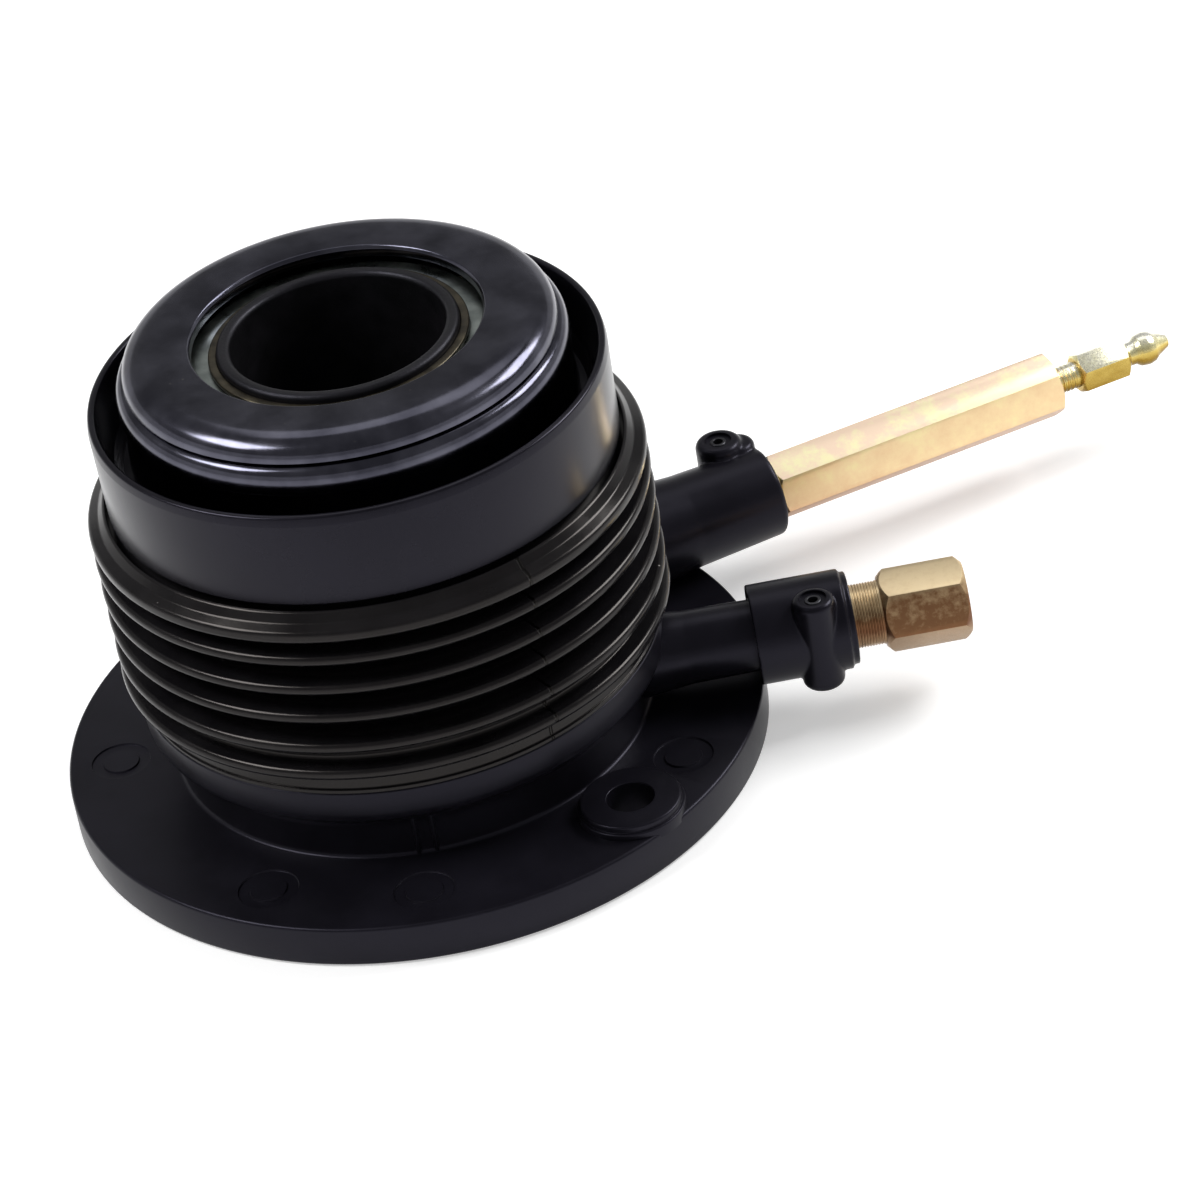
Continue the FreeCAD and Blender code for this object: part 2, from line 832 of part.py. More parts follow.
def make_piston_seal():
    body = new_body("piston_seal")
    low = size("seal_bottom")
    lip = size("seal_lip")
    outer = size("cylinder_bore") - size("race_gap")
    inner = sleeve_outer + size("race_gap")
    ring(body, "cup", [
        (inner + 0.4, seal_top),
        (inner + 0.4, low + 3.0),
        (inner, low + 1.0),
        (inner + lip / 2, low),
        (inner + lip, low + 0.6),
        (inner + lip + 0.9, low + 3.4),
        (outer - lip - 0.9, low + 3.4),
        (outer - lip, low + 0.6),
        (outer - lip / 2, low),
        (outer, low + 1.0),
        (outer - 0.4, low + 3.0),
        (outer - 0.4, seal_top),
    ])
    return body


# Carrier cup

def make_bearing_carrier():
    body = new_body("bearing_carrier")
    inner = sleeve_outer + size("loose_gap")
    web = size("piston_top")
    rib_outer = spring_mean - size("spring_wire") - 0.4
    rib_inner = piston_flange + size("running_gap")
    ring(body, "cup", [
        (inner, web),
        (rib_inner, web),
        (rib_inner, web - size("spring_rib_height")),
        (rib_outer, web - size("spring_rib_height")),
        (rib_outer, web),
        (skirt_inner, web),
        (skirt_inner, carrier_bottom),
        (carrier_radius, carrier_bottom),
        (carrier_radius + size("carrier_draft"), carrier_shoulder),
        (carrier_rim, carrier_shoulder + size("carrier_rim_height")),
        (carrier_floor, web_top + 1.5),
        (carrier_floor - 1.5, web_top),
        (inner, web_top),
    ])
    return body


# Release bearing

def make_preload_washer():
    body = new_body("preload_washer")
    sheet_height = size("washer_sheet")
    ring(body, "cone", [
        (inner_bore + size("washer_inset"), web_top),
        (inner_shoulder - size("washer_margin"), ring_bottom - sheet_height),
        (inner_shoulder - size("washer_margin"), ring_bottom),
        (inner_bore + size("washer_inset"), web_top + sheet_height),
    ])
    return body


def cut_race(body):
    sketch = new_sketch(body, "race_section")
    add_circle(sketch, ball_circle, ball_height, race_radius)
    revolve(body, "race", sketch, "V_Axis", cut=True)


def make_bearing_inner_ring():
    body = new_body("bearing_inner_ring")
    edge = 0.5
    ring(body, "blank", [
        (inner_bore + edge, ring_bottom),
        (inner_shoulder, ring_bottom),
        (inner_shoulder, ball_height),
        (inner_neck, ball_height),
        (inner_neck, inner_top - edge),
        (inner_neck - edge, inner_top),
        (inner_bore + edge, inner_top),
        (inner_bore, inner_top - edge),
        (inner_bore, ring_bottom + edge),
    ])
    cut_race(body)
    return body


def make_bearing_outer_ring():
    body = new_body("bearing_outer_ring")
    ring(body, "blank", [
        (outer_mouth, outer_bottom),
        (outer_radius, outer_bottom),
        (outer_radius, bulge_top),
        (face_radius, bulge_top),
        (face_radius, face_top),
        (face_hole + 0.6, face_top),
        (face_hole, face_top - 0.7),
        (face_hole, under_face),
        (outer_shoulder, under_face),
        (outer_shoulder, ball_height),
        (outer_mouth, ball_height),
    ])
    soften(body, "face_edge", "Fillet", size("face_round"),
           lambda radius, centre: near(radius, face_radius) and near(centre.z, face_top))
    soften(body, "bulge_edge", "Fillet", size("bulge_round"),
           lambda radius, centre: near(radius, outer_radius) and near(centre.z, bulge_top))
    cut_race(body)
    return body


# One ball at the ball circle, as an added or a removed ball.
def ball_at_circle(body, name, kind, radius):
    ball = body.newObject(kind, name)
    ball.AttachmentSupport = [(origin_part(body, "XY_Plane"), "")]
    ball.MapMode = "FlatFace"
    base = Vector(ball_circle.value, 0, ball_height.value)
    ball.AttachmentOffset = Placement(base, Rotation())
    bind(ball, "AttachmentOffset.Base.x", ball_circle)
    bind(ball, "AttachmentOffset.Base.z", ball_height)
    ball.Radius = radius.value
    bind(ball, "Radius", radius)
    doc.recompute()
    return ball


def make_bearing_balls():
    body = new_body("bearing_balls")
    ball = ball_at_circle(body, "ball", "PartDesign::AdditiveSphere", size("ball_radius"))
    polar(body, "ball_set", [ball], (origin_part(body, "Z_Axis"), [""]), size("ball_count"))
    return body


def make_bearing_cage():
    body = new_body("bearing_cage")
    ring(body, "band", [
        (ball_circle - size("cage_thick") / 2, ball_height - size("cage_drop")),
        (ball_circle + size("cage_thick") / 2, ball_height - size("cage_drop")),
        (ball_circle + size("cage_thick") / 2, ball_height + size("cage_rise")),
        (ball_circle - size("cage_thick") / 2, ball_height + size("cage_rise")),
    ])
    radius = size("ball_radius") + size("pocket_gap")
    hollow = ball_at_circle(body, "ball_pocket", "PartDesign::SubtractiveSphere", radius)
    polar(body, "pockets", [hollow], (origin_part(body, "Z_Axis"), [""]), size("ball_count"))
    return body


def make_bearing_shield():
    body = new_body("bearing_shield")
    low = outer_bottom + size("shield_inset")
    inner = inner_shoulder + size("running_gap")
    ring(body, "plate", [
        (inner, low),
        (outer_mouth, low),
        (outer_mouth, low + size("shield_thick")),
        (inner, low + size("shield_thick")),
    ])
    return body


# Fittings

# The part of a fitting that sits in its port, from the inner end to the shoulder.
def spigot_outline(shoulder_along):
    groove_half = size("pin_radius") + size("spigot_groove_slack")
    bed_half = size("fitting_oring") * 1.3
    middle = fitting_oring_along
    edge = 0.4
    return [
        (spigot_start, size("passage_radius")),
        (spigot_start, size("spigot_radius") - edge),
        (spigot_start + edge, size("spigot_radius")),
        (middle - bed_half, size("spigot_radius")),
        (middle - bed_half, fitting_bed),
        (middle + bed_half, fitting_bed),
        (middle + bed_half, size("spigot_radius")),
        (pin_along - groove_half, size("spigot_radius")),
        (pin_along - groove_half, groove_floor),
        (pin_along + groove_half, groove_floor),
        (pin_along + groove_half, size("spigot_radius")),
        (shoulder_along, size("spigot_radius")),
    ]


# Hexagon across X; lean turns the first flat above the horizontal on the -Y side.
def hexagon(body, name, flats, start, end, lean):
    corner = flats * as_size(1 / math.sqrt(3.0))
    sketch = new_sketch(body, name + "_outline", "YZ_Plane", lift=start)
    corners = []
    for step in range(6):
        turn = as_size(150.0 + 60.0 * step) - lean
        corners.append((corner * cosine(turn), corner * sine(turn)))
    add_outline(sketch, corners)
    return pad(body, name, sketch, end - start)


# Turns both ends of a hexagon down to a cone, as a nut is.
def round_hexagon_ends(body, name, flats, start, end):
    corner = flats * as_size(1 / math.sqrt(3.0))
    half = flats / 2 - 0.1
    depth = (corner - half) * 0.9
    for label, face, inward in (("near", start, 1), ("far", end, -1)):
        turned(body, "%s_%s" % (name, label), [
            (face - 0.5 * inward, half - 0.5 / 0.9),
            (face + depth * inward, corner + 0.01),
            (face + depth * inward, corner + 1.5),
            (face - 0.5 * inward, corner + 1.5),
        ], cut=True)


def make_line_adaptor():
    body = new_body("line_adaptor")
    start = line_hex_start
    end = line_hex_end
    hexagon(body, "hexagon", size("line_hex"), start, end, size("line_hex_lean"))
    round_hexagon_ends(body, "hexagon_end", size("line_hex"), start, end)
    turned(body, "spigot", spigot_outline(start + 0.5) + [(start + 0.5, size("passage_radius"))])
    depth = end - size("line_thread_depth")
    seat = size("line_thread_radius") - size("passage_radius")
    turned(body, "line_hole", [
        (start - 1.0, ZERO),
        (start - 1.0, size("passage_radius")),
        (depth - seat, size("passage_radius")),
        (depth, size("line_thread_radius")),
        (end - 0.8, size("line_thread_radius")),
        (end, size("line_thread_radius") + 0.8),
        (end + 1.0, size("line_thread_radius") + 0.8),
        (end + 1.0, ZERO),
    ], cut=True)
    put_in_port(body, size("line_angle"), size("line_offset"))
    return body


def make_bleed_extension():
    body = new_body("bleed_extension")
    start = bleed_hex_start
    end = bleed_hex_end
    hexagon(body, "hexagon", size("bleed_hex"), start, end, size("bleed_hex_lean"))
    round_hexagon_ends(body, "hexagon_end", size("bleed_hex"), start, end)
    turned(body, "spigot", spigot_outline(start + 0.5) + [(start + 0.5, size("passage_radius"))])
    hole = size("screw_radius") + size("running_gap")
    depth = end - size("screw_hole_depth")
    turned(body, "bleed_hole", [
        (start - 1.0, ZERO),
        (start - 1.0, size("passage_radius")),
        (depth - hole + size("passage_radius"), size("passage_radius")),
        (depth, hole),
        (end + 1.0, hole),
        (end + 1.0, ZERO),
    ], cut=True)
    put_in_port(body, size("bleed_angle"), size("bleed_offset"))
    return body


def make_fitting_oring(node, angle, offset):
    body = new_body(node)
    sketch = new_sketch(body, "section")
    middle = fitting_bed + size("fitting_oring")
    add_circle(sketch, fitting_oring_along, middle, size("fitting_oring"))
    revolve(body, "loop", sketch, "H_Axis")
    put_in_port(body, angle, offset)
    return body


def make_pin(node, angle, offset, aside, top):
    body = new_body(node)
    low = size("pin_boss_bottom") + 1.2
    across, up = port_point(angle, offset, pin_along, aside)
    sketch = new_sketch(body, "wall_outline", "XY_Plane", lift=low)
    add_circle(sketch, across, up, size("pin_radius"))
    add_circle(sketch, across, up, pin_inner)
    pad(body, "wall", sketch, top - 0.4 - low)
    half = size("pin_slit") / 2
    slit = new_sketch(body, "slit_outline", "XY_Plane", lift=top)
    add_outline(slit, [
        (across + pin_inner - 0.4, up - half),
        (across + size("pin_radius") + 0.5, up - half),
        (across + size("pin_radius") + 0.5, up + half),
        (across + pin_inner - 0.4, up + half),
    ])
    pocket(body, "slit", slit, top - low)
    return body


def make_bleed_screw():
    body = new_body("bleed_screw")
    start = screw_hex_start
    end = screw_hex_end
    hexagon(body, "hexagon", size("screw_hex"), start, end, size("screw_hex_lean"))
    round_hexagon_ends(body, "hexagon_end", size("screw_hex"), start, end)
    seat = bleed_hex_end - size("screw_hole_depth")
    thread_end = bleed_hex_end - 3.5
    blunt = as_size(1.0)
    turned(body, "shank", [
        (seat - size("screw_radius") + blunt, ZERO),
        (seat - size("screw_radius") + blunt, blunt),
        (seat, size("screw_radius")),
        (thread_end, size("screw_radius")),
        (thread_end + 0.5, size("screw_neck")),
        (start + 0.5, size("screw_neck")),
        (start + 0.5, ZERO),
    ])
    ball = size("nipple_ball")
    centre = nipple_centre
    turned(body, "nipple", [
        (end - 0.5, ZERO),
        (end - 0.5, size("nipple_neck")),
        (centre - ball * 0.72, size("nipple_neck")),
        (centre - ball * 0.38, ball * 0.925),
        (centre, ball),
        (centre + ball * 0.38, ball * 0.925),
        (centre + ball * 0.7, ball * 0.714),
        (nipple_tip, size("nipple_bore") + 0.3),
        (nipple_tip, ZERO),
    ])
    cross = seat + 4.0
    turned(body, "bleed_bore", [
        (cross, ZERO),
        (cross, size("nipple_bore")),
        (nipple_tip + 1.0, size("nipple_bore")),
        (nipple_tip + 1.0, ZERO),
    ], cut=True)
    sketch = new_sketch(body, "cross_hole_outline", "XY_Plane", lift=size("screw_radius") + 1.0)
    add_circle(sketch, cross + 1.0, ZERO, size("nipple_bore"))
    pocket(body, "cross_hole", sketch, size("screw_radius") * 2 + 2.0)
    put_in_port(body, size("bleed_angle"), size("bleed_offset"))
    return body


def make_all():
    line = (size("line_angle"), size("line_offset"))
    bleed = (size("bleed_angle"), size("bleed_offset"))
    aside = size("pin_aside")
    return [
        make_housing(),
        make_guide_sleeve(),
        make_sleeve_oring(),
        make_spring_seat(),
        make_preload_spring(),
        make_dust_bellows(),
        make_retaining_ring(),
        make_piston(),
        make_piston_seal(),
        make_bearing_carrier(),
        make_preload_washer(),
        make_bearing_inner_ring(),
        make_bearing_outer_ring(),
        make_bearing_shield(),
        make_bearing_balls(),
        make_bearing_cage(),
        make_line_adaptor(),
        make_fitting_oring("line_adaptor_oring", line[0], line[1]),
        make_pin("line_adaptor_pin", line[0], line[1], -aside, size("line_boss_top")),
        make_bleed_extension(),
        make_fitting_oring("bleed_extension_oring", bleed[0], bleed[1]),
        make_pin("bleed_extension_pin", bleed[0], bleed[1], aside, size("bleed_boss_top")),
        make_bleed_screw(),
    ]


pieces = make_all()
doc.recompute()

for thing in doc.Objects:
    for word in thing.State:
        if word in ("Invalid", "Error"):
            raise ValueError("%s is in state %s" % (thing.Name, word))

for piece in pieces:
    shape = piece.Shape
    if shape.isNull() or not shape.isValid():
        raise ValueError("%s has no valid shape" % piece.Label)

for piece in pieces:
    piece.Shape.exportStep("parts/%s.step" % piece.Label)
    solids = len(piece.Shape.Solids)
    print("%s: %d solid(s), %.1f mm3" % (piece.Label, solids, piece.Shape.Volume))
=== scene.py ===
import bpy
import math
from mathutils import Matrix


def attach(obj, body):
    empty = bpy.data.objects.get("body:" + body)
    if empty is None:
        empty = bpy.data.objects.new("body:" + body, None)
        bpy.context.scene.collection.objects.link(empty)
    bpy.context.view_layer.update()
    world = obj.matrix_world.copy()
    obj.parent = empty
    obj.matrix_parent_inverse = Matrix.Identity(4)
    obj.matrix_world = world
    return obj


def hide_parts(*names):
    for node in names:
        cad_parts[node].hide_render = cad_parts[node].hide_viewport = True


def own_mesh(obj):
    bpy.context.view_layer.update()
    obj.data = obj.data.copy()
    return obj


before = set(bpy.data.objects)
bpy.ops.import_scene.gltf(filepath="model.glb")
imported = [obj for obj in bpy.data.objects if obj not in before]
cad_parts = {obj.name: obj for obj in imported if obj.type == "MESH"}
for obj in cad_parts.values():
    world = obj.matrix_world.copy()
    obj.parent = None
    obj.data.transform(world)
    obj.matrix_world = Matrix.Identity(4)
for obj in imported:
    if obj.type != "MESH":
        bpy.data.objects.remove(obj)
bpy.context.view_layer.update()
print("stage: frame loaded")

mm = 0.001
roundStep = 15.0  # degrees between the points of a rounded corner
onAxis = 0.01  # mm, stands for zero radius, so that a turned piece closes on its axis

# both ports: height of their line above the gearbox face, its direction and its offset from the
# sleeve's axis, and where the roll pin crosses it, in mm and degrees
ports = {
    "height": 16.0,
    "line": {"angle": 0.44, "offset": -7.84},
    "bleed": {"angle": 18.73, "offset": 13.47},
    "pinAlong": 71.8,
    "pinAside": 5.8,
}


# small modelling helpers

def deselectAll():
    if bpy.context.mode != "OBJECT":
        bpy.ops.object.mode_set(mode="OBJECT")
    bpy.ops.object.select_all(action="DESELECT")


def pick(piece):
    deselectAll()
    piece.select_set(True)
    bpy.context.view_layer.objects.active = piece


# swaps each corner that has a radius for an arc; corners are (across, up, radius)
def roundPath(corners):
    path = []
    count = len(corners)
    for i, corner in enumerate(corners):
        x, y = corner[0], corner[1]
        radius = corner[2] if len(corner) > 2 else 0.0
        if radius <= 0.0:
            path.append((x, y))
            continue
        px, py = corners[i - 1][0], corners[i - 1][1]
        nx, ny = corners[(i + 1) % count][0], corners[(i + 1) % count][1]
        ax, ay = px - x, py - y
        bx, by = nx - x, ny - y
        la, lb = math.hypot(ax, ay), math.hypot(bx, by)
        ax, ay, bx, by = ax / la, ay / la, bx / lb, by / lb
        between = math.acos(max(-1.0, min(1.0, ax * bx + ay * by)))
        reach = min(radius / math.tan(between / 2), la * 0.49, lb * 0.49)
        radius = reach * math.tan(between / 2)
        mx, my = ax + bx, ay + by
        lm = math.hypot(mx, my)
        away = radius / math.sin(between / 2)
        cx, cy = x + mx / lm * away, y + my / lm * away
        start = math.atan2(y + ay * reach - cy, x + ax * reach - cx)
        end = math.atan2(y + by * reach - cy, x + bx * reach - cx)
        sweep = (end - start + math.pi) % (2 * math.pi) - math.pi
        steps = max(2, int(abs(math.degrees(sweep)) / roundStep + 0.5))
        for k in range(steps + 1):
            a = start + sweep * k / steps
            path.append((cx + radius * math.cos(a), cy + radius * math.sin(a)))
    return path


# a turned piece round Z from its section, whose corners are (radius, height, rounding) in mm
def turnPiece(name, corners, steps=192):
    path = roundPath(corners)
    deselectAll()
    bpy.ops.mesh.primitive_plane_add(size=mm)
    piece = bpy.context.object
    piece.name = name
    piece.data.name = name
    bpy.ops.object.mode_set(mode="EDIT")
    bpy.ops.mesh.select_all(action="SELECT")
    bpy.ops.mesh.merge(type="CENTER")
    bpy.ops.transform.translate(value=(path[0][0] * mm, 0, path[0][1] * mm))
    for here, there in zip(path, path[1:] + path[:1]):
        step = ((there[0] - here[0]) * mm, 0, (there[1] - here[1]) * mm)
        bpy.ops.mesh.extrude_region_move(TRANSFORM_OT_translate={"value": step})
    bpy.ops.mesh.select_all(action="SELECT")
    bpy.ops.mesh.remove_doubles(threshold=0.000001)
    bpy.ops.mesh.spin(steps=steps, angle=2 * math.pi, center=(0, 0, 0), axis=(0, 0, 1),
                      use_auto_merge=True)
    bpy.ops.mesh.select_all(action="SELECT")
    bpy.ops.mesh.remove_doubles(threshold=0.000002)
    bpy.ops.mesh.normals_make_consistent(inside=False)
    bpy.ops.object.mode_set(mode="OBJECT")
    return piece


def smooth(piece, degrees=35.0):
    pick(piece)
    bpy.ops.object.shade_smooth_by_angle(angle=math.radians(degrees))
    return piece


def addModifier(piece, kind, **settings):
    pick(piece)
    bpy.ops.object.modifier_add(type=kind)
    modifier = piece.modifiers[-1]
    for key, value in settings.items():
        setattr(modifier, key, value)
    bpy.ops.object.modifier_apply(modifier=modifier.name)


# cuts, keeps or adds the tool's shape and removes the tool
def combine(piece, tool, operation):
    addModifier(piece, "BOOLEAN", operation=operation, object=tool, solver="EXACT")
    bpy.data.objects.remove(tool)


# moves and turns a piece, in mm and degrees, and puts its place into its mesh
def place(piece, location=(0, 0, 0), rotation=(0, 0, 0)):
    pick(piece)
    piece.location = [value * mm for value in location]
    piece.rotation_euler = [math.radians(value) for value in rotation]
    bpy.ops.object.transform_apply(location=True, rotation=True, scale=True)
    return piece


# the point at a length along a port's line, and aside from it, seen from above
def portPoint(port, along, aside=0.0):
    angle = math.radians(port["angle"])
    level = port["offset"] + aside
    x = along * math.cos(angle) - level * math.sin(angle)
    y = along * math.sin(angle) + level * math.cos(angle)
    return x, y


# turns a piece that was built along Z into the direction of its port
def placeInPort(piece, port, roll=0.0):
    place(piece, rotation=(0, 0, roll))
    place(piece, rotation=(0, 90, 0))
    x, y = portPoint(port, 0.0)
    return place(piece, (x, y, ports["height"]), (0, 0, port["angle"]))


def joinPieces(piece, others):
    pick(piece)
    for other in others:
        other.select_set(True)
    bpy.context.view_layer.objects.active = piece
    bpy.ops.object.join()


# melts joined solids into one skin with soft inner corners
def melt(piece, voxel, rounds):
    addModifier(piece, "REMESH", mode="VOXEL", voxel_size=voxel * mm, use_smooth_shade=True)
    addModifier(piece, "SMOOTH", factor=0.5, iterations=rounds)
    pick(piece)
    bpy.ops.object.shade_smooth()


# an upright boss or pin, with rounded edges and perhaps a hole
def pillar(name, x, y, low, high, radius, edge, hole=0.0):
    inner = max(hole, onAxis)
    piece = turnPiece(name, [
        (inner, low), (radius, low, edge), (radius, high, edge), (inner, high),
    ], 64)
    return place(piece, (x, y, 0))


# a hexagon along Z with turned-down corners
def hexPiece(name, flats, start, end, bite):
    corner = flats / math.sqrt(3.0)
    deselectAll()
    bpy.ops.mesh.primitive_cylinder_add(vertices=6, radius=corner * mm, depth=(end - start) * mm,
                                        location=(0, 0, (start + end) / 2 * mm))
    piece = bpy.context.object
    piece.name = name
    piece.data.name = name
    bpy.ops.object.transform_apply(location=True, rotation=True, scale=True)
    small, large = flats / 2 - 0.35, corner + 0.4
    barrel = turnPiece(name + "Barrel", [
        (onAxis, start), (small, start), (large, start + bite),
        (large, end - bite), (small, end), (onAxis, end),
    ], 96)
    combine(piece, barrel, "INTERSECT")
    return piece


# material helpers

def srgb(text):
    channels = []
    for i in (1, 3, 5):
        value = int(text[i:i + 2], 16) / 255
        channels.append(value / 12.92 if value <= 0.04045 else ((value + 0.055) / 1.055) ** 2.4)
    return (channels[0], channels[1], channels[2], 1.0)


def addNode(tree, kind, inputs=None, links=None, **settings):
    node = tree.nodes.new(kind)
    for key, value in settings.items():
        setattr(node, key, value)
    for key, value in (inputs or {}).items():
        node.inputs[key].default_value = value
    for key, source in (links or {}).items():
        tree.links.new(source, node.inputs[key])
    return node


def newMaterial(name):
    material = bpy.data.materials.new(name)
    material.use_nodes = True
    tree = material.node_tree
    tree.nodes.clear()
    return material, tree


def objectPoint(tree):
    return addNode(tree, "ShaderNodeTexCoord").outputs["Object"]


# noise whose patches are about sizeMm across on the real piece
def noise(tree, point, sizeMm, detail=3.0, rough=0.55):
    node = addNode(tree, "ShaderNodeTexNoise",
                   {"Scale": 1000.0 / sizeMm, "Detail": detail, "Roughness": rough}, {"Vector": point})
    return node.outputs["Fac"]


def stretch(tree, value, low, high, newLow, newHigh):
    node = addNode(tree, "ShaderNodeMapRange",
                   {"From Min": low, "From Max": high, "To Min": newLow, "To Max": newHigh},
                   {"Value": value})
    return node.outputs["Result"]


def mixColour(tree, factor, first, second):
    node = addNode(tree, "ShaderNodeMix", data_type="RGBA")
    tree.links.new(factor, node.inputs[0])
    for index, value in ((6, first), (7, second)):
        if isinstance(value, str):
            node.inputs[index].default_value = srgb(value)
        else:
            tree.links.new(value, node.inputs[index])
    return node.outputs[2]


# a fine line down one side of a turned piece, as the halves of a mould leave it; 1 on the line. It carries both
# the seam's notch in the bump and the painted shade in that notch
def mouldSeamAndShade(tree, point, turn, widthMm):
    across = (-math.sin(turn), math.cos(turn), 0.0)
    front = (math.cos(turn), math.sin(turn), 0.0)
    aside = addNode(tree, "ShaderNodeVectorMath", {1: across}, {0: point}, operation="DOT_PRODUCT")
    away = addNode(tree, "ShaderNodeMath", operation="ABSOLUTE", links={0: aside.outputs["Value"]})
    line = stretch(tree, away.outputs[0], widthMm * mm * 0.4, widthMm * mm, 1.0, 0.0)
    ahead = addNode(tree, "ShaderNodeVectorMath", {1: front}, {0: point}, operation="DOT_PRODUCT")
    oneSide = stretch(tree, ahead.outputs["Value"], 0.0, 0.001, 0.0, 1.0)
    return addNode(tree, "ShaderNodeMath", operation="MULTIPLY", links={0: line, 1: oneSide}).outputs[0]


# sparse pale dots, about a fifth of a millimetre across, in patches
def dustSpecks(tree, point, size, spacingMm):
    dots = addNode(tree, "ShaderNodeTexVoronoi", {"Scale": 1000.0 / spacingMm, "Randomness": 1.0},
                   {"Vector": point})
    near = stretch(tree, dots.outputs["Distance"], size, size * 0.5, 0.0, 1.0)
    rare = stretch(tree, noise(tree, point, spacingMm * 2.5, 0.0), 0.56, 0.60, 0.0, 1.0)
    return addNode(tree, "ShaderNodeMath", operation="MULTIPLY", links={0: near, 1: rare}).outputs[0]


# black plastic, rubber or steel: a dark base, uneven gloss and a fine grain
def darkMaterial(name, look):
    material, tree = newMaterial(name)
    point = objectPoint(tree)
    cloud = noise(tree, point, look["cloudMm"], 4.0)
    colour = mixColour(tree, stretch(tree, cloud, 0.35, 0.65, 0.0, 1.0), look["dark"], look["light"])
    grain = noise(tree, point, look["grainMm"], 2.0)
    roughness = stretch(tree, cloud, 0.3, 0.7,
                        look["rough"] - look["roughSpread"], look["rough"] + look["roughSpread"])
    if "specks" in look:
        colour = mixColour(tree, dustSpecks(tree, point, look["specks"], look["specksMm"]), colour, "#b8b4b0")
    bump = addNode(tree, "ShaderNodeBump", {"Strength": look["grain"], "Distance": 0.0001}, {"Height": grain})
    if "seamTurn" in look:
        seam = mouldSeamAndShade(tree, point, math.radians(look["seamTurn"]), look["seamMm"])
        # painted shade: the seam line darkened nearly to black, as shade in its notch
        colour = mixColour(tree, seam, colour, "#020202")
        bump = addNode(tree, "ShaderNodeBump", {"Strength": 1.0, "Distance": 0.0003},
                       {"Height": seam, "Normal": bump.outputs["Normal"]}, invert=True)
    around = addNode(tree, "ShaderNodeTangent", direction_type="RADIAL", axis="Z")
    shader = addNode(tree, "ShaderNodeBsdfPrincipled",
                     {"Metallic": look["metal"], "Specular IOR Level": look["shine"],
                      "Specular Tint": srgb(look.get("tint", "#ffffff")),
                      "Anisotropic": look.get("turned", 0.0)},
                     {"Base Color": colour, "Roughness": roughness, "Normal": bump.outputs["Normal"],
                      "Tangent": around.outputs["Tangent"]})
    addNode(tree, "ShaderNodeOutputMaterial", links={"Surface": shader.outputs["BSDF"]})
    return material


# zinc with a passivation film, with painted light and shade: the tint follows which way the face looks, lighter
# on faces that look up and darker on faces that look down, and clouds over it
def platedMaterial(name, look):
    material, tree = newMaterial(name)
    coordinates = addNode(tree, "ShaderNodeTexCoord")
    point = coordinates.outputs["Object"]
    normal = addNode(tree, "ShaderNodeSeparateXYZ", links={"Vector": coordinates.outputs["Normal"]})
    cloud = noise(tree, point, look["cloudMm"], 5.0, 0.65)
    wobble = stretch(tree, cloud, 0.3, 0.7, -look["wobble"], look["wobble"])
    # painted light and shade: how far the face looks up, moved a little by the clouds, picks the tint
    height = addNode(tree, "ShaderNodeMath", operation="ADD", links={0: normal.outputs["Z"], 1: wobble})
    ramp = addNode(tree, "ShaderNodeValToRGB",
                   links={"Fac": stretch(tree, height.outputs[0], -1.0, 1.0, 0.0, 1.0)})
    band = ramp.color_ramp
    while len(band.elements) > 1:
        band.elements.remove(band.elements[-1])
    band.elements[0].position = look["paintedLightTints"][0][0]
    band.elements[0].color = srgb(look["paintedLightTints"][0][1])
    for position, tint in look["paintedLightTints"][1:]:
        band.elements.new(position).color = srgb(tint)
    grain = noise(tree, point, look["grainMm"], 3.0)
    roughness = stretch(tree, grain, 0.3, 0.7, look["rough"] - 0.06, look["rough"] + 0.08)
    bump = addNode(tree, "ShaderNodeBump", {"Strength": look["grain"], "Distance": 0.0001}, {"Height": grain})
    shader = addNode(tree, "ShaderNodeBsdfPrincipled", {"Metallic": look["metal"]},
                     {"Base Color": ramp.outputs["Color"], "Roughness": roughness,
                      "Normal": bump.outputs["Normal"]})
    addNode(tree, "ShaderNodeOutputMaterial", links={"Surface": shader.outputs["BSDF"]})
    return material


